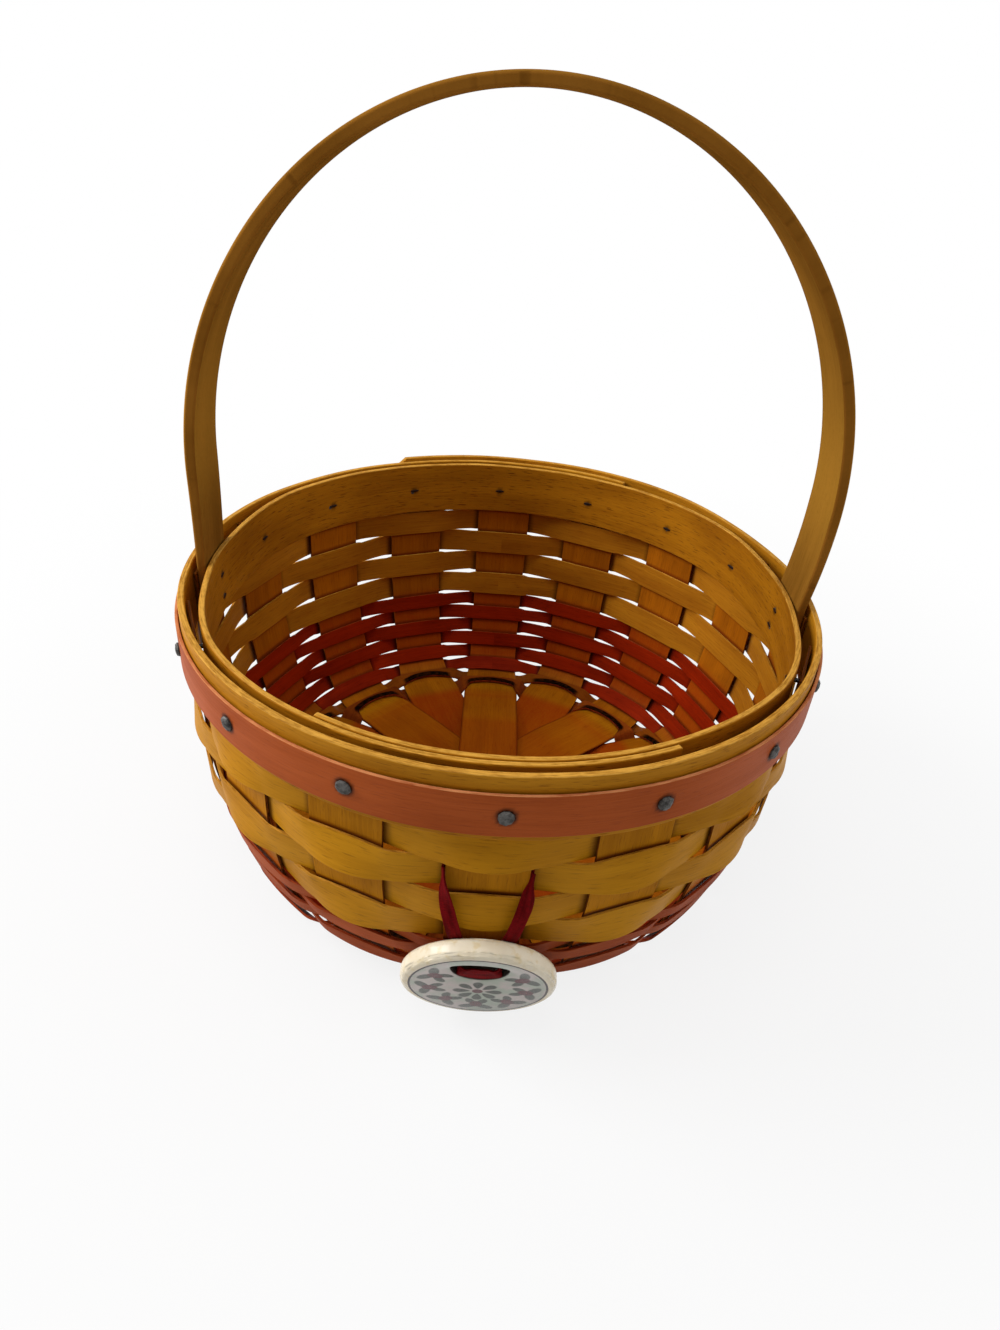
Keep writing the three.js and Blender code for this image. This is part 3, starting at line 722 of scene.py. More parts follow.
class Row:
    """One row's bend: flat over each arm it passes inside, crowned over the others.

    A reed is pinched to a narrow arc where it passes inside an arm, and the lowest fills the gaps
    between the arms.
    """

    def __init__(self, number, path, width, crown, tilt, pinch, fill):
        self.number = number
        self.path = path
        self.width = width
        self.crown = crown
        self.tilt = tilt
        self.pinch = pinch
        self.fill = fill
        self.radius = wall.at(path).x
        self.edge_angle = math.asin((upright_width(path) / 2 + EDGE_MARGIN) / self.radius)
        self.chord_rise = self.radius * (1 - math.cos(self.edge_angle)) * wall.heading(path).y

    def passes_outside(self, arm):
        return (self.number + arm) % 2 == 0

    def crossing(self, arm):
        """How far the row's middle stands out from the wall line where it crosses an arm."""
        bow = self.width ** 2 / (8 * HEEL_RADIUS) if self.path < HEEL_END else 0
        hug = UPRIGHT_THICKNESS / 2 + WEAVER_THICKNESS / 2 + FIT + bow
        lift = LAYER * layers_up(arm % STRIP_COUNT, self.path) if arm % 2 == 0 else 0
        if self.passes_outside(arm):
            return hug - lift
        tied = (self.number, arm % ARM_COUNT) == (TIED_ROW, TIED_ARM)
        return -hug - lift - (RIBBON_THICKNESS + FIT if tied else 0)

    def crown_at(self, arm):
        return self.crown if self.passes_outside(arm) else 0.0

    def over_arm(self, arm, side):
        """Offset at an arm, where side runs from -1 at one edge of the upright to 1 at the other."""
        return self.crossing(arm) + self.chord_rise * side ** 2 + self.crown_at(arm) * (1 - side ** 2)

    def edge_slope(self, arm):
        return 2 * (self.chord_rise - self.crown_at(arm)) / self.edge_angle

    def offset(self, arm, step):
        """Offset at a step in angle from an arm's middle, positive towards the arm before it."""
        side = step / self.edge_angle
        if abs(side) <= 1:
            return self.over_arm(arm, side)
        other = arm - 1 if step > 0 else arm + 1
        gap = ARM_PITCH - 2 * self.edge_angle
        share = (abs(step) - self.edge_angle) / gap
        return hermite(self.over_arm(arm, 1), self.edge_slope(arm) * gap,
                       self.over_arm(other, 1), -self.edge_slope(other) * gap, share)

    def middle_share(self, arm, step, outside):
        """1 at the middle of an arm that the row passes on the given side, falling to 0 at its edges."""
        if self.passes_outside(arm) != outside:
            return 0.0
        return max(1 - (step / self.edge_angle) ** 2, 0.0)

    def past_edge(self, step, start, end):
        """0 up to one multiple of the upright's half width from its middle, and 1 from another on."""
        return smoothstep(abs(step), start * self.edge_angle, end * self.edge_angle)

    def gap_pinch(self, angle, step):
        """How much narrower the row is between arms: it leaves larger holes round the back."""
        if self.pinch:
            return 0.0
        uneven = max(PINCH_MEAN + PINCH_SPREAD * round_waver(angle, 17 + self.number, 2.5), 0.0)
        at_back = smoothstep(math.sin(angle), -0.2, 0.3)
        return GAP_PINCH * uneven * self.past_edge(step, 0.95, 1.15) * at_back

    def nearest(self, along):
        turn = along * ARM_COUNT
        arm = round(turn)
        return arm, (arm - turn) * ARM_PITCH

    def place(self, along, across):
        arm, step = self.nearest(along)
        angle = arm_angle(arm) + step
        crest = self.middle_share(arm, step, True)
        drift = ROW_WANDER * round_waver(angle, self.number)
        edge_seed = self.number + 31 * math.copysign(1, across)
        width = self.width + EDGE_WANDER * round_waver(angle, edge_seed, 9) + CREST_SPREAD * crest
        width -= self.gap_pinch(angle, step)
        narrowing = self.pinch * self.middle_share(arm, step, False)
        narrowing -= self.fill * self.past_edge(step, 0.75, 1.05)
        edge = self.path + across * width + drift + narrowing * (0.5 - across)
        middle = settled(self.path, angle)
        lean = self.tilt * (BACK_TILT + (1 - BACK_TILT) * smoothstep(-math.sin(angle), 0.2, 0.7))
        out = self.offset(arm, step) - lean * across * crest
        return beside_wall(middle, out, angle, settled(edge, angle) - middle)

    def crevice_shade(self, point, along, across):
        """Painted shade in the crevice: full where an upright hides the row, and gone a little way out
        of the upright's shade.
        """
        arm, step = self.nearest(along)
        beside = abs(step) * self.radius - upright_width(self.path) / 2
        depth = 1 - smoothstep(beside, 0, CREVICE_SHADE_REACH)
        return -depth if self.passes_outside(arm) else depth

    def shadowed(self, point, along, across):
        """A painted shadow: the dark arc along a reed's inner edge where it crosses an arm on the
        inside.
        """
        inside = self.middle_share(*self.nearest(along), False)
        from_edge = (across + 0.5) * (self.width - self.pinch * inside)
        near_edge = 1 - smoothstep(from_edge, 0.85 * REED_SHADOW, REED_SHADOW)
        return smoothstep(inside, 0.05, 0.35) * near_edge


def row_set(first, count, top, pitch, crown, tilt, pinch=0.0):
    """Rows of one kind, from the top one down."""
    rows = []
    for i in range(count):
        fill = REED_FILL if pinch and i == count - 1 else 0.0
        rows.append(Row(first + i, top - (i + 0.5) * pitch, pitch - ROW_SEAM, crown, tilt, pinch, fill))
    return rows


natural_rows = row_set(0, NATURAL_COUNT, WEAVE_TOP, NATURAL_PITCH, NATURAL_CROWN, NATURAL_TILT)
dyed_rows = row_set(NATURAL_COUNT, DYED_COUNT, DYED_TOP, DYED_PITCH, DYED_CROWN, DYED_TILT)
base_reeds = row_set(NATURAL_COUNT + DYED_COUNT, REED_COUNT, DYED_BOTTOM, DYED_PITCH, REED_CROWN, 0.0,
                     DYED_PITCH - ROW_GAP - REED_PINCH)


def make_rows(rows, name, node, materials):
    for i, row in enumerate(rows):
        bm = blank(TURN * row.radius, row.width, ROW_GRID, row.place, 10 + row.number, closed=True,
                   tint=row.shadowed if row.pinch else None, crevice_shade=row.crevice_shade)
        piece = new_piece(f"{name}_{i + 1}", bm, materials, "basket", f"{node}_{i + 1}")
        thicken(piece, WEAVER_THICKNESS, SPLINT_EASE)


# Rim bands: bent strips whose ends lap, the inner one inwards, the outer one outwards and a little up

LEG_OUTSIDE = WALL_RADIUS - UPRIGHT_THICKNESS / 2 - FIT
LEG_FLAT = math.asin((HANDLE_WIDTH / 2 + FIT) / LEG_OUTSIDE)
INNER_LAP_STEP = INNER_BAND_THICKNESS + FIT
OUTER_LAP_STEP = OUTER_BAND_THICKNESS + FIT
TRIM_BOTTOM = BASKET_HEIGHT - TRIM_DROP - TRIM_HEIGHT
NAIL_LEVEL = TRIM_BOTTOM + TRIM_HEIGHT / 2


def lap_share(travel):
    return smoothstep(travel, TURN - LAP_RAMP, TURN)


def inner_band_outside(angle, travel):
    from_leg = math.asin(min(abs(math.sin(angle)), 1.0))
    bulge = 1 - smoothstep(from_leg, LEG_FLAT, LEG_FLAT + FOOT_EASE)
    return LEG_OUTSIDE - (FOOT_THICKNESS + FIT) * bulge - INNER_LAP_STEP * lap_share(travel)


def inner_band_inside(angle):
    travel = (INNER_LAP_START - angle) % TURN
    last_layer = travel + TURN if travel < INNER_LAP else travel
    return inner_band_outside(angle, last_layer) - INNER_BAND_THICKNESS


def outer_band_outside(angle, travel):
    return RIM_RADIUS + OUTER_LAP_STEP * lap_share(travel)


def trim_inside(angle):
    travel = (angle - OUTER_LAP_START) % TURN
    climb = 1 if travel < OUTER_LAP else lap_share(travel)
    settle = 1 - smoothstep(travel, OUTER_LAP, OUTER_LAP + TRIM_SETTLE)
    return RIM_RADIUS + FIT + OUTER_LAP_STEP * max(climb, settle)


def nail_spots():
    spots = []
    for arm in range(ARM_COUNT):
        on_leg = arm % STRIP_COUNT == STRIP_COUNT // 2
        for level in ([-HANDLE_NAIL_PITCH / 2, HANDLE_NAIL_PITCH / 2] if on_leg else [0]):
            spots.append((arm_angle(arm) + NAIL_TURN, NAIL_LEVEL + level))
    return spots


NAILS = nail_spots()


def tip_stray(i):
    """How far along and up a nail's bent tip lies from where its shank comes through."""
    along = noise.noise(Vector((1.7 * i, 0.4, 0.0)))
    up = noise.noise(Vector((1.7 * i, 0.4, 5.0)))
    return CLINCH_STRAY * along, 0.5 * CLINCH_STRAY * up


def tip_spot(i):
    angle, z = NAILS[i]
    along, up = tip_stray(i)
    radius = inner_band_inside(angle)
    return polar(radius, angle + along / radius, z + up)


def stain_round(spots, core, reach):
    """A stain that is full up to core from the nearest spot and gone at reach."""
    def tint(point, along, across):
        near = min((point - spot).length for spot in spots)
        return 1 - smoothstep(near, core, reach)

    return tint


def bend_band(start, direction, lap, thickness, outside_at, seed, rise=0.0, corner=0.0):
    def place(along, across):
        height = across + 0.5
        clipped = corner / RIM_RADIUS * smoothstep(height, CORNER_FOOT, 1.0)
        clipped *= max(along - (1 - CORNER_SHARE), 0) / CORNER_SHARE
        travel = along * (TURN + lap) - clipped
        angle = start + direction * travel
        radius = outside_at(angle, travel) - thickness / 2
        lean = BAND_LEAN * round_waver(angle, seed, 2.5)
        z = BAND_BOTTOM + BAND_HEIGHT * height + rise * lap_share(travel)
        z += BAND_WAVE * round_waver(angle, seed + 5, 4) * height
        return polar(radius + lean * height, angle, z)

    return place


def bend_trim(along, across):
    angle = along * TURN
    z = TRIM_BOTTOM + TRIM_HEIGHT * (across + 0.5) + BAND_WAVE * round_waver(angle, 9)
    return polar(trim_inside(angle) + TRIM_THICKNESS / 2, angle, z)


def make_bands():
    tips = [tip_spot(i) for i in range(len(NAILS))]
    heads = [polar(trim_inside(angle) + TRIM_THICKNESS, angle, z) for angle, z in NAILS]
    inner_bend = bend_band(INNER_LAP_START, -1, INNER_LAP, INNER_BAND_THICKNESS, inner_band_outside, 1)
    inner = blank((TURN + INNER_LAP) * LEG_OUTSIDE, BAND_HEIGHT, INNER_BAND_GRID, inner_bend, 31,
                  tint=stain_round(tips, TIP_STAIN_CORE * TIP_STAIN, TIP_STAIN))
    piece = new_piece("inner_band", inner, [inner_band_wood, band_edge],
                      "basket", "inner_rim_band")
    thicken(piece, INNER_BAND_THICKNESS, BAND_EASE, segments=3)

    outer_bend = bend_band(OUTER_LAP_START, 1, OUTER_LAP, OUTER_BAND_THICKNESS, outer_band_outside, 2,
                           OUTER_LAP_RISE, LAP_CORNER)
    outer = blank((TURN + OUTER_LAP) * RIM_RADIUS, BAND_HEIGHT, OUTER_BAND_GRID, outer_bend, 32)
    piece = new_piece("outer_band", outer, [outer_band_wood, band_edge],
                      "basket", "outer_rim_band")
    thicken(piece, OUTER_BAND_THICKNESS, BAND_EASE, segments=3)

    trim = blank(TURN * RIM_RADIUS, TRIM_HEIGHT, TRIM_GRID, bend_trim, 33, closed=True,
                 tint=stain_round(heads, NAIL_HEAD_RADIUS, HEAD_STAIN))
    piece = new_piece("rose_trim", trim, [trim_wood, trim_edge], "basket", "trim_strip")
    thicken(piece, TRIM_THICKNESS, TRIM_EASE, segments=3)


# Handle: thinned feet between the bands, and half an ellipse on top that leans a little to one side

HANDLE_BEND = BASKET_HEIGHT + HANDLE_SPRING
LEG_STEPS = 12
ARCH_STEPS = 160


def handle_leg(side):
    splay = HANDLE_SPLAY + side * HANDLE_LEAN
    leg = [Vector((side * LEG_OUTSIDE, 0, BAND_BOTTOM + FOOT_LIFT))]
    for i in range(LEG_STEPS + 1):
        share = i / LEG_STEPS
        x = LEG_OUTSIDE + splay * (1 - (1 - share) ** 2)
        leg.append(Vector((side * x, 0, BASKET_HEIGHT + HANDLE_SPRING * share)))
    return leg


def handle_route():
    half_width = LEG_OUTSIDE + HANDLE_SPLAY
    arch = []
    for i in range(1, ARCH_STEPS):
        angle = math.pi * i / ARCH_STEPS
        x = HANDLE_LEAN + half_width * math.cos(angle)
        arch.append(Vector((x, 0, HANDLE_BEND + (HANDLE_TOP - HANDLE_BEND) * math.sin(angle))))
    return Route(handle_leg(1) + arch + handle_leg(-1)[::-1])


def handle_thickness(z):
    share = min(max((z - BASKET_HEIGHT) / HANDLE_SPRING, 0), 1)
    return FOOT_THICKNESS + (HANDLE_THICKNESS - FOOT_THICKNESS) * share


# Painted sheen: the handle's legs turn paler above the feet and below the arch, and the feet stay darker
# as painted shade.
def painted_leg_sheen(point, along, across):
    above_foot = (BASKET_HEIGHT, BASKET_HEIGHT + 1.5 * HANDLE_SPRING)
    below_arch = (HANDLE_BEND, HANDLE_TOP - HANDLE_SPRING)
    return LEG_SHEEN * hump(point.z, above_foot, below_arch)


def make_handle():
    route = handle_route()

    def place(along, across):
        distance = along * route.length
        spot = route.at(distance)
        heading = route.heading(distance, MM)
        inward = Vector((-heading.z, 0, heading.x))
        middle = spot + inward * (handle_thickness(spot.z) / 2)
        return middle + Vector((0, across * HANDLE_WIDTH, 0))

    bm = blank(route.length, HANDLE_WIDTH, HANDLE_GRID, place, 41, tint=painted_leg_sheen)
    piece = new_piece("bent_handle", bm, [handle_wood, handle_edge], "basket", "hoop_handle")
    weights = piece.vertex_groups.new(name="thickness")
    for vert in piece.data.vertices:
        weights.add([vert.index], handle_thickness(vert.co.z) / HANDLE_THICKNESS, "REPLACE")
    shell = thicken(piece, HANDLE_THICKNESS, HANDLE_EDGE, segments=5)
    shell.vertex_group = "thickness"


# Nails: hammered heads outside, and tips bent over flat inside

def nail_material():
    material, nodes, shader = new_material("hammered_steel")
    place = nodes.place()
    rust = nodes.noise(place, 500.0, 4.0, 0.7)
    nodes.feed(shader, {
        "Base Color": nodes.mix(nodes.span(rust, 0.4, 0.65), colour("53514e"), colour("24211e")),
        "Metallic": 0.4,
        "Roughness": nodes.span(rust, 0.3, 0.7, 0.5, 0.7),
        "Normal": nodes.bump(nodes.noise(place, 1100.0), 0.5, 0.25 * MM),
    })
    return material


def tip_material():
    material, nodes, shader = new_material("dark_nail_tip")
    rust = nodes.noise(nodes.place(), 900.0, 4.0, 0.7)
    nodes.feed(shader, {
        "Base Color": nodes.mix(nodes.span(rust, 0.35, 0.65), colour("2a140a"), colour("170c08")),
        "Roughness": 0.6,
        "Specular IOR Level": 0.1,
        "Normal": nodes.bump(rust, 0.5, 0.2 * MM),
    })
    return material


def make_nails():
    materials = [nail_material(), tip_material()]
    for i, (angle, z) in enumerate(NAILS):
        seat = trim_inside(angle) + TRIM_THICKNESS
        shank = seat - inner_band_inside(angle)
        outline = [
            (0, -shank),
            (NAIL_SHANK_RADIUS, -shank),
            (NAIL_SHANK_RADIUS, 0),
            (0.96 * NAIL_HEAD_RADIUS, 0),
            (NAIL_HEAD_RADIUS, 0.35 * NAIL_HEAD_HEIGHT),
            (0.8 * NAIL_HEAD_RADIUS, 0.8 * NAIL_HEAD_HEIGHT),
            (0.4 * NAIL_HEAD_RADIUS, NAIL_HEAD_HEIGHT),
            (0, NAIL_HEAD_HEIGHT),
        ]
        bm = bmesh.new()
        verts = [bm.verts.new((r, 0, h)) for r, h in outline]
        edges = [bm.edges.new(pair) for pair in zip(verts, verts[1:])]
        bmesh.ops.spin(bm, geom=verts + edges, axis=(0, 0, 1), cent=(0, 0, 0), angle=TURN,
                       steps=NAIL_HEAD_SIDES, use_merge=True)
        bmesh.ops.remove_doubles(bm, verts=bm.verts, dist=0.01 * MM)
        for vert in bm.verts:
            if vert.co.z > 0:
                knock = noise.noise(vert.co * 900 + Vector((3.1 * i, 0, 0)))
                vert.co *= 1 + HAMMER_DENT * knock
        along, up = tip_stray(i)
        bent_over = Matrix.Translation((-up, along, -shank)) @ Matrix.Diagonal(
            (CLINCH_HEIGHT, CLINCH_LENGTH, CLINCH_PROUD, 1))
        tip = bmesh.ops.create_uvsphere(bm, u_segments=14, v_segments=8, radius=1, matrix=bent_over)
        for face in {face for vert in tip["verts"] for face in vert.link_faces}:
            face.material_index = 1
        turn = Matrix.Rotation(angle, 4, "Z") @ Matrix.Rotation(math.pi / 2, 4, "Y")
        bmesh.ops.transform(bm, matrix=Matrix.Translation(polar(seat, angle, z)) @ turn, verts=bm.verts)
        new_piece(f"hammered_nail_{i + 1}", bm, materials, "basket", f"rim_nail_{i + 1}",
                  smooth=False)


# Tag: a thick glazed disc with a half-moon slot, held just off the lower rows by its ribbon

TAG_UP = Vector((0, -math.sin(TAG_TILT), math.cos(TAG_TILT)))
TAG_OUT = Vector((0, -math.cos(TAG_TILT), -math.sin(TAG_TILT)))
TAG_CENTRE = (Vector(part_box("ceramic_tag")[0]) + Vector(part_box("ceramic_tag")[1])) / 2
SLOT_LEVEL = TAG_RADIUS - SLOT_BRIDGE - SLOT_ARCH


def on_tag(x, up, out):
    return TAG_CENTRE + Vector((x, 0, 0)) + TAG_UP * up + TAG_OUT * out


def oval(nodes, x, y, size):
    """A soft-edged oval mask."""
    x = nodes.math("DIVIDE", x, size[0])
    y = nodes.math("DIVIDE", y, size[1])
    return nodes.span(nodes.sum((x, x), (y, y)), 0.55, 1.1, 1.0, 0.0)


def sprig_ring_group():
    """Four-leaved sprigs round the lower face and a small rosette, from a place on the tag's face."""
    tree, nodes, given, result = new_group(
        "sprig_ring", {"Face": "Vector"}, {"Leaf": "Float", "Berry": "Float", "Line": "Float"})
    x, y, _ = nodes.split(given["Face"])

    def round_ring(up, count, ring, lag):
        """Sideways and outwards from the nearest of count places round a ring, and from its middle."""
        far = nodes.vector("LENGTH", nodes.join(x, up))
        turn = nodes.math("DIVIDE", nodes.math("ARCTAN2", up, x), TURN / count)
        share = nodes.math("SUBTRACT", nodes.math("FRACT", nodes.math("ADD", turn, count + lag)), 0.5)
        sideways = nodes.math("MULTIPLY", share, TURN / count * ring)
        return sideways, nodes.math("SUBTRACT", far, ring), far

    sideways, outwards, _ = round_ring(y, SPRIG_COUNT, SPRIG_RING, 0.75)
    mirrored = nodes.math("ABSOLUTE", sideways)
    leaning = nodes.math("MULTIPLY", mirrored, LEAF_LEAN)
    beside = nodes.math("SUBTRACT", mirrored, LEAF_SIDE)
    upper = nodes.math("SUBTRACT", nodes.math("SUBTRACT", outwards, leaning), LEAF_RISE)
    lower = nodes.math("ADD", nodes.math("ADD", outwards, leaning), LEAF_RISE)
    leaf = nodes.math("MAXIMUM", oval(nodes, beside, upper, LEAF_SIZE),
                      oval(nodes, beside, lower, LEAF_SIZE))
    berry = oval(nodes, sideways, outwards, BERRY_SIZE)
    from_top = nodes.math("ARCTAN2", nodes.math("ABSOLUTE", x), y)
    clear = nodes.math("GREATER_THAN", from_top, TURN / SPRIG_COUNT)
    from_rosette = nodes.math("ADD", y, ROSETTE_DROP)
    petal_side, petal_out, from_eye = round_ring(from_rosette, ROSETTE_COUNT, ROSETTE_RING, 0.5)
    petal = oval(nodes, petal_side, petal_out, PETAL_SIZE)
    eye = nodes.span(from_eye, 1.3 * MM, 1.7 * MM, 1.0, 0.0)
    radius = nodes.vector("LENGTH", given["Face"])
    off_line = nodes.math("ABSOLUTE", nodes.math("SUBTRACT", radius, LINE_RADIUS))
    nodes.feed(result, {
        "Leaf": nodes.math("MAXIMUM", nodes.math("MULTIPLY", leaf, clear), petal),
        "Berry": nodes.math("MAXIMUM", nodes.math("MULTIPLY", berry, clear), eye),
        "Line": nodes.span(off_line, 0.18 * MM, 0.42 * MM, 1.0, 0.0),
    })
    return tree


def glaze_material():
    material, nodes, shader = new_material("cream_glaze")
    face = nodes.flat("face")
    place = nodes.place()
    front = nodes.layer("front")
    marks = nodes.add("ShaderNodeGroup", {"Face": face}, node_tree=sprig_ring_group()).outputs
    cloud = nodes.noise(place, 120.0)
    mottle = nodes.noise(place, 330.0, 3.0, 0.6)
    cream = nodes.mix(nodes.span(cloud, 0.35, 0.65), colour("efe4cc"), colour("e6d8bc"))
    cream = nodes.mix(nodes.span(mottle, 0.5, 0.7, 0.0, 0.6), cream, colour("dcc48a"))
    radius = nodes.vector("LENGTH", face)
    inside_line = nodes.span(radius, LINE_RADIUS - 0.1 * MM, LINE_RADIUS, 1.0, 0.0)
    on_face = nodes.math("MULTIPLY", front, inside_line)
    ground = nodes.mix(nodes.span(cloud, 0.4, 0.6), colour("c2b6b0"), colour("a8b0a0"))
    body = nodes.mix(on_face, cream, ground)
    smudge = nodes.span(nodes.noise(place, 1500.0), 0.3, 0.7, 0.85, 1.0)
    printed = nodes.math("MULTIPLY", on_face, smudge)
    inks = [("Leaf", printed, "3c4035"), ("Berry", printed, "5a1822"), ("Line", front, "2e1013")]
    for mark, reach, ink in inks:
        body = nodes.mix(nodes.math("MULTIPLY", marks[mark], reach), body, colour(ink))
    # Painted shadow: the slot's wall is darkened to near black.
    body = nodes.mix(nodes.math("MULTIPLY", nodes.layer("slot_shadow"), 0.92), body, colour("1c0c0a"))
    nodes.feed(shader, {
        "Base Color": body,
        "Roughness": nodes.span(cloud, 0.3, 0.7, 0.14, 0.24),
        "Specular IOR Level": 0.15,
        "Coat Weight": 0.1,
        "Coat Roughness": 0.06,
        "Normal": nodes.bump(nodes.noise(place, 160.0, 2.0), 0.12, 0.4 * MM),
    })
    return material


def corner_edges(bm, on_rim):
    """The edges between a flat face of the tag and its rim, or between a flat face and its slot."""
    found = []
    for edge in bm.edges:
        level = abs(edge.verts[0].co.z - edge.verts[1].co.z) < 0.01 * MM
        outside = all(vert.co.xy.length > TAG_RADIUS - 0.1 * MM for vert in edge.verts)
        on_side = any(abs(face.normal.z) < 0.5 for face in edge.link_faces)
        on_flat = any(abs(face.normal.z) > 0.5 for face in edge.link_faces)
        if level and on_side and on_flat and outside == on_rim:
            found.append(edge)
    return found


def make_tag():
    bm = bmesh.new()
    uv = bm.loops.layers.uv.new("face")
    bmesh.ops.create_circle(bm, segments=TAG_SIDES, radius=TAG_RADIUS)
    slot = bmesh.ops.create_circle(bm, segments=TAG_SIDES, radius=1)["verts"]
    for vert in slot:
        depth = SLOT_DEPTH if vert.co.y < 0 else SLOT_ARCH
        vert.co = Vector((vert.co.x * SLOT_WIDTH / 2, SLOT_LEVEL + vert.co.y * depth, 0))
    bmesh.ops.bridge_loops(bm, edges=bm.edges)
    bmesh.ops.recalc_face_normals(bm, faces=bm.faces)
    bmesh.ops.solidify(bm, geom=list(bm.faces), thickness=TAG_THICKNESS)
    low = min(vert.co.z for vert in bm.verts)
    bmesh.ops.translate(bm, vec=(0, 0, -low - TAG_THICKNESS / 2), verts=bm.verts)
    bmesh.ops.recalc_face_normals(bm, faces=bm.faces)
    bmesh.ops.bevel(bm, geom=corner_edges(bm, True), offset=TAG_SHOULDER, segments=8, profile=0.5,
                    affect="EDGES", material=-1)
    bmesh.ops.bevel(bm, geom=corner_edges(bm, False), offset=SLOT_EASE, segments=3, profile=0.5,
                    affect="EDGES", material=-1, clamp_overlap=True)
    front = bm.verts.layers.float.new("front")
    # The slot layer marks the slot's wall for its painted shadow.
    slot_shadow = bm.verts.layers.float.new("slot_shadow")
    for vert in bm.verts:
        vert[front] = 1.0 if vert.co.z > 0 else 0.0
        above = vert.co.y - SLOT_LEVEL
        depth = SLOT_DEPTH if above < 0 else SLOT_ARCH
        vert[slot_shadow] = 1.0 if math.hypot(2 * vert.co.x / SLOT_WIDTH, above / depth) < 1.01 else 0.0
    for face in bm.faces:
        for loop in face.loops:
            loop[uv].uv = loop.vert.co.xy
    axes = Matrix((Vector((1, 0, 0)), TAG_UP, TAG_OUT)).transposed().to_4x4()
    bmesh.ops.transform(bm, matrix=Matrix.Translation(TAG_CENTRE) @ axes, verts=bm.verts)
    new_piece("glazed_tag", bm, [glaze_material()], "tag", "ceramic_tag")


# Ribbon: a tie behind the front upright, and a loop that hangs from its ends through the slot

TIE_PATH = natural_rows[TIED_ROW].path + NATURAL_WIDTH / 2 - RIBBON_WIDTH / 2
TIE_SPOT = wall.at(TIE_PATH)
TIE_X = upright_width(TIE_PATH) / 2 + FIT + RIBBON_THICKNESS / 2
ARM_FRONT = -(TIE_SPOT.x + UPRIGHT_THICKNESS / 2)
ARM_BACK = -(TIE_SPOT.x - UPRIGHT_THICKNESS / 2)
LOOP_TOP_Y = ARM_FRONT - FIT - RIBBON_THICKNESS / 2
TIE_BACK_Y = ARM_BACK + FIT + RIBBON_THICKNESS / 2


def loop_points():
    crest = natural_rows[TIED_ROW + 1].place(0.5, 0.5)
    clear = WEAVER_THICKNESS / 2 + FIT + RIBBON_THICKNESS / 2
    behind = -(TAG_THICKNESS / 2 + FIT + RIBBON_THICKNESS / 2)
    bottom = SLOT_LEVEL - SLOT_DEPTH - FIT + RIBBON_WIDTH * BIGHT_SPREAD / 2

    def on_bight(angle, out):
        return on_tag(BIGHT_REACH * math.sin(angle), bottom + BIGHT_SAG * (1 - math.cos(angle)), out)

    half = [
        Vector((TIE_X, LOOP_TOP_Y, TIE_SPOT.y)),
        Vector((TIE_X - RIBBON_LEAN, crest.y - 2 * clear, crest.z)),
        on_tag(BIGHT_REACH + 2 * RIBBON_LEAN, TAG_RADIUS + RIBBON_LEAN, behind),
        on_bight(BIGHT_BEHIND, behind),
        on_bight(BIGHT_IN_SLOT, BIGHT_FORWARD),
        on_bight(BIGHT_IN_SLOT / 2, BIGHT_FORWARD),
    ]
    mirrored = [Vector((-p.x, p.y, p.z)) for p in reversed(half)]
    return half + [on_bight(0, BIGHT_FORWARD)] + mirrored


def ribbon_material():
    material, nodes, shader = new_material("burgundy_satin")
    flat = nodes.flat()
    weft = nodes.streaks(flat, (5200, 700, 1), 2.0)
    # The weft streaks are the satin's own texture; the broader fold streaks darken and lighten its
    # colour as painted shade and sheen of folds, and also bump it.
    fold_shading = nodes.streaks(flat, (120, 900, 1), 3.0)
    tone = nodes.sum((weft, 0.4), (fold_shading, 0.6))
    nodes.feed(shader, {
        "Base Color": nodes.mix(nodes.span(tone, 0.35, 0.65), colour("520608"), colour("7e1014")),
        "Roughness": 0.6,
        "Specular IOR Level": 0.02,
        "Normal": nodes.bump(nodes.math("ADD", weft, fold_shading), 0.6, 0.2 * MM),
    })
    return material


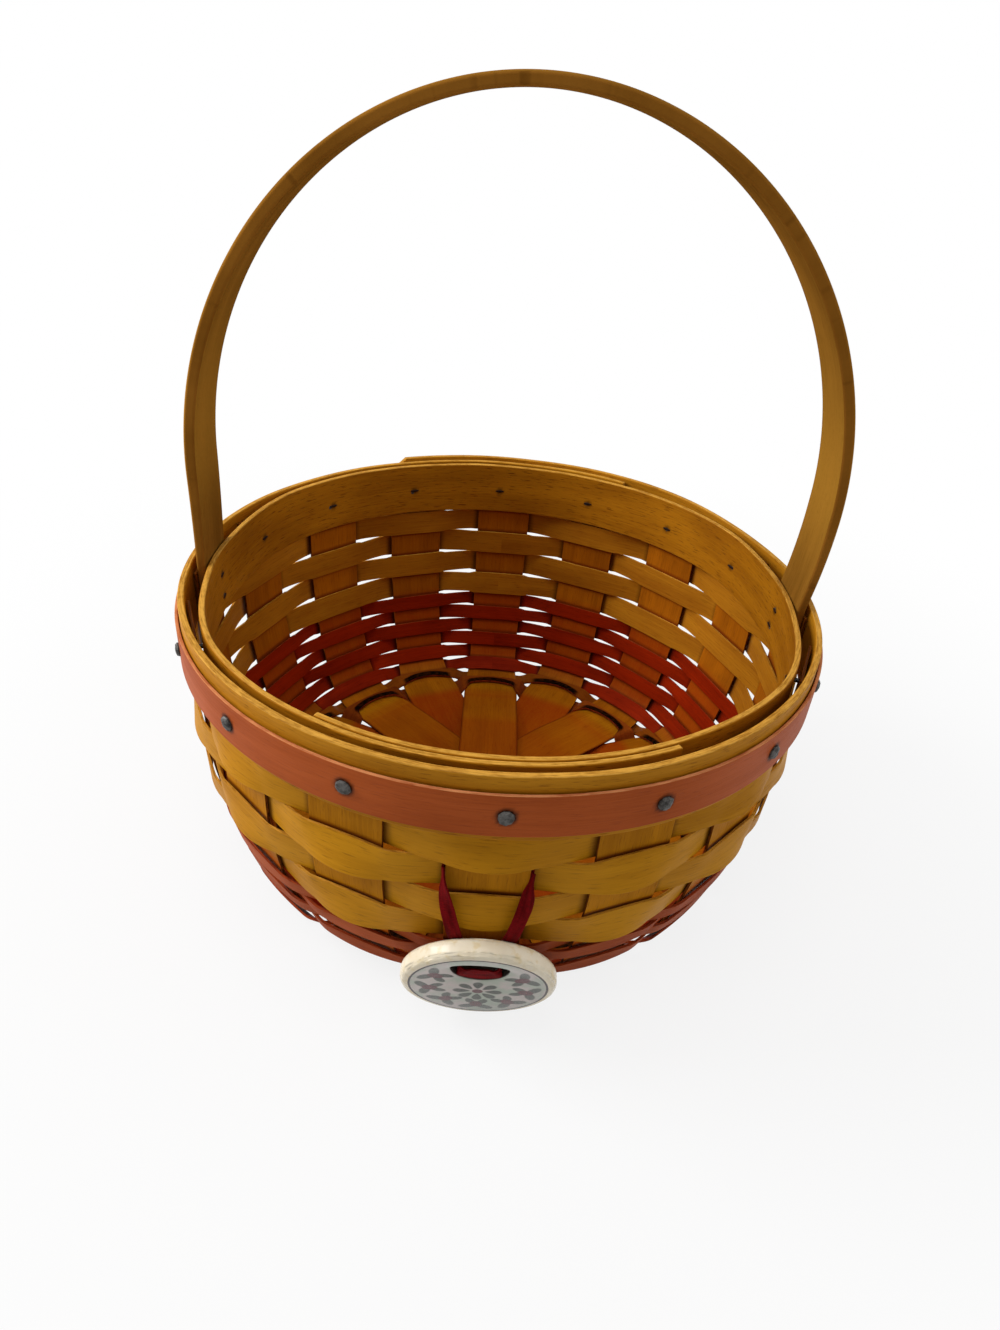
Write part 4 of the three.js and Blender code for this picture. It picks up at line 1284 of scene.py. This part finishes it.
def make_loop(satin):
    route = smooth_route(loop_points(), LOOP_STEPS)
    slot_entry = route.marks[LOOP_STEPS * SLOT_POINT]

    def hang(along, across):
        distance = along * route.length
        heading = route.heading(distance, 0.4 * MM)
        flat = (TAG_OUT - heading * TAG_OUT.dot(heading)).normalized()
        from_end = min(distance, route.length - distance)
        twist = RIBBON_TWIST * (1 - smoothstep(from_end, TWIST_HOLD, TWIST_FADE))
        flat = Matrix.Rotation(twist if along < 0.5 else -twist, 3, heading) @ flat
        sideways = heading.cross(flat)
        past_slot = from_end - slot_entry
        crumpled = BIGHT_CRUMPLE * hump(past_slot, SLOT_NARROWS, SLOT_WIDENS)
        gathered = TOP_GATHER * (1 - smoothstep(from_end, TWIST_HOLD, GATHER_FADE))
        spread = (BIGHT_SPREAD - 1) * smoothstep(past_slot, *BIGHT_WIDENS)
        width = RIBBON_WIDTH * (1 - crumpled - gathered + spread)
        cup = RIBBON_CUP * (1 - 4 * across * across)
        return route.at(distance) + sideways * (across * width) + flat * cup

    bm = blank(route.length, RIBBON_WIDTH, LOOP_GRID, hang, 51)
    loop = new_piece("ribbon_hanging", bm, [satin, satin], "tag", "ribbon_loop")
    thicken(loop, RIBBON_THICKNESS, RIBBON_EASE)
    path = [route.at(route.length * i / CORD_STEPS) for i in range(CORD_STEPS + 1)]
    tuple(path[0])


def make_tie(satin):
    half = [(TIE_X - RIBBON_CORNER, TIE_BACK_Y), (TIE_X, TIE_BACK_Y - RIBBON_CORNER), (TIE_X, ARM_FRONT)]
    line = [(-x, y) for x, y in reversed(half)] + half
    route = Route([Vector((x, y, TIE_SPOT.y)) for x, y in line])

    def wrap(along, across):
        return route.at(along * route.length) + Vector((0, 0, across * RIBBON_WIDTH))

    bm = blank(route.length, RIBBON_WIDTH, TIE_GRID, wrap, 52)
    tie = new_piece("ribbon_behind", bm, [satin, satin], "basket", "ribbon_tie")
    thicken(tie, RIBBON_THICKNESS, RIBBON_EASE)


def make_ribbon():
    satin = ribbon_material()
    make_loop(satin)
    make_tie(satin)


# Floor, light and camera

VIEW_SIDE = 0.4 * MM
VIEW_DISTANCE = 247 * MM
VIEW_RISE = 128.5 * MM
VIEW_PITCH = math.radians(33.64)
VIEW_YAW = math.radians(0.19)
VIEW_ROLL = math.radians(5.07)
BASKET_TURN = math.radians(1.5)
PHOTO_HEIGHT = 1330
FOCAL_PIXELS = 862
SENSOR = 36
LAMP_AIM = Vector((0, 0, 0.06))
LAMPS = [
    ("key", Vector((-0.88, 0.1, 0.6)), 0.5, 10.0),
    ("overhead", Vector((-0.1, -0.15, 1.05)), 0.5, 3.4),
    ("fill", Vector((0.88, 0.1, 0.5)), 0.6, 2.4),
]
WORLD_LIGHT = 0.26
FLOOR_HALF = 2.5


def make_camera():
    level = Vector((math.cos(VIEW_YAW), -math.sin(VIEW_YAW), 0))
    ahead = Vector((math.sin(VIEW_YAW), math.cos(VIEW_YAW), -math.tan(VIEW_PITCH))).normalized()
    upward = level.cross(ahead)
    right = level * math.cos(VIEW_ROLL) + upward * math.sin(VIEW_ROLL)
    top = upward * math.cos(VIEW_ROLL) - level * math.sin(VIEW_ROLL)
    data = bpy.data.cameras.new("camera")
    data.sensor_fit = "VERTICAL"
    data.sensor_height = SENSOR
    data.lens = FOCAL_PIXELS / PHOTO_HEIGHT * SENSOR
    data.clip_start = 0.01
    camera = add_object("camera", data)
    place = Matrix((right, top, -ahead)).transposed().to_4x4()
    place.translation = Vector((VIEW_SIDE, -VIEW_DISTANCE, BASKET_HEIGHT + VIEW_RISE))
    camera.matrix_world = Matrix.Rotation(-BASKET_TURN, 4, "Z") @ place
    bpy.context.scene.camera = camera


def make_lamps():
    for name, place, size, power in LAMPS:
        data = bpy.data.lights.new(name, "AREA")
        data.size = size
        data.energy = power
        lamp = add_object(name, data)
        lamp.location = place
        lamp.rotation_euler = (LAMP_AIM - place).to_track_quat("-Z", "Y").to_euler()


def seen_rays(nodes):
    """1 for rays that show a thing to the camera, straight, in a reflection or through glass."""
    rays = nodes.add("ShaderNodeLightPath").outputs
    mirrored = nodes.math("MAXIMUM", rays["Is Glossy Ray"], rays["Is Transmission Ray"])
    return nodes.math("MAXIMUM", rays["Is Camera Ray"], mirrored)


def make_world():
    world = bpy.data.worlds.new("studio")
    world.use_nodes = True
    bpy.context.scene.world = world
    nodes = Nodes(world.node_tree)
    strength = nodes.span(seen_rays(nodes), 0, 1, WORLD_LIGHT, 1.0)
    nodes.feed(world.node_tree.nodes["Background"], {"Color": (1, 1, 1, 1), "Strength": strength})


def make_floor():
    bm = bmesh.new()
    bmesh.ops.create_grid(bm, x_segments=1, y_segments=1, size=FLOOR_HALF)
    material, nodes, shader = new_material("pale_floor")
    place = nodes.place()
    nodes.feed(shader, {
        "Base Color": nodes.mix(nodes.noise(place, 3.0), (0.68, 0.68, 0.68, 1), (0.7, 0.7, 0.7, 1)),
        "Roughness": 0.8,
    })
    glow = nodes.add("ShaderNodeEmission", {"Color": (1, 1, 1, 1), "Strength": 1.0})
    away = nodes.span(nodes.vector("LENGTH", place), 0.1, 0.4, 0.84, 1.0)
    share = nodes.math("MULTIPLY", away, seen_rays(nodes))
    blend = nodes.add("ShaderNodeMixShader", {0: share, 1: shader.outputs[0], 2: glow.outputs[0]})
    nodes.feed(material.node_tree.nodes["Material Output"], {"Surface": blend.outputs[0]})
    floor = add_mesh("floor", bm, [material])


def make_studio():
    bpy.context.scene.view_settings.view_transform = "Standard"
    make_world()
    make_floor()
    make_lamps()


make_camera()
make_ribbon()
make_tag()
make_uprights()
make_rows(natural_rows, "woven_natural", "natural_weaver", [natural_wood, natural_edge])
make_rows(dyed_rows, "woven_dyed", "dyed_weaver", [dyed_wood, dyed_edge])
make_rows(base_reeds, "woven_reed", "base_reed", [reed_wood, dyed_edge])
make_bands()
make_handle()
make_nails()
make_studio()
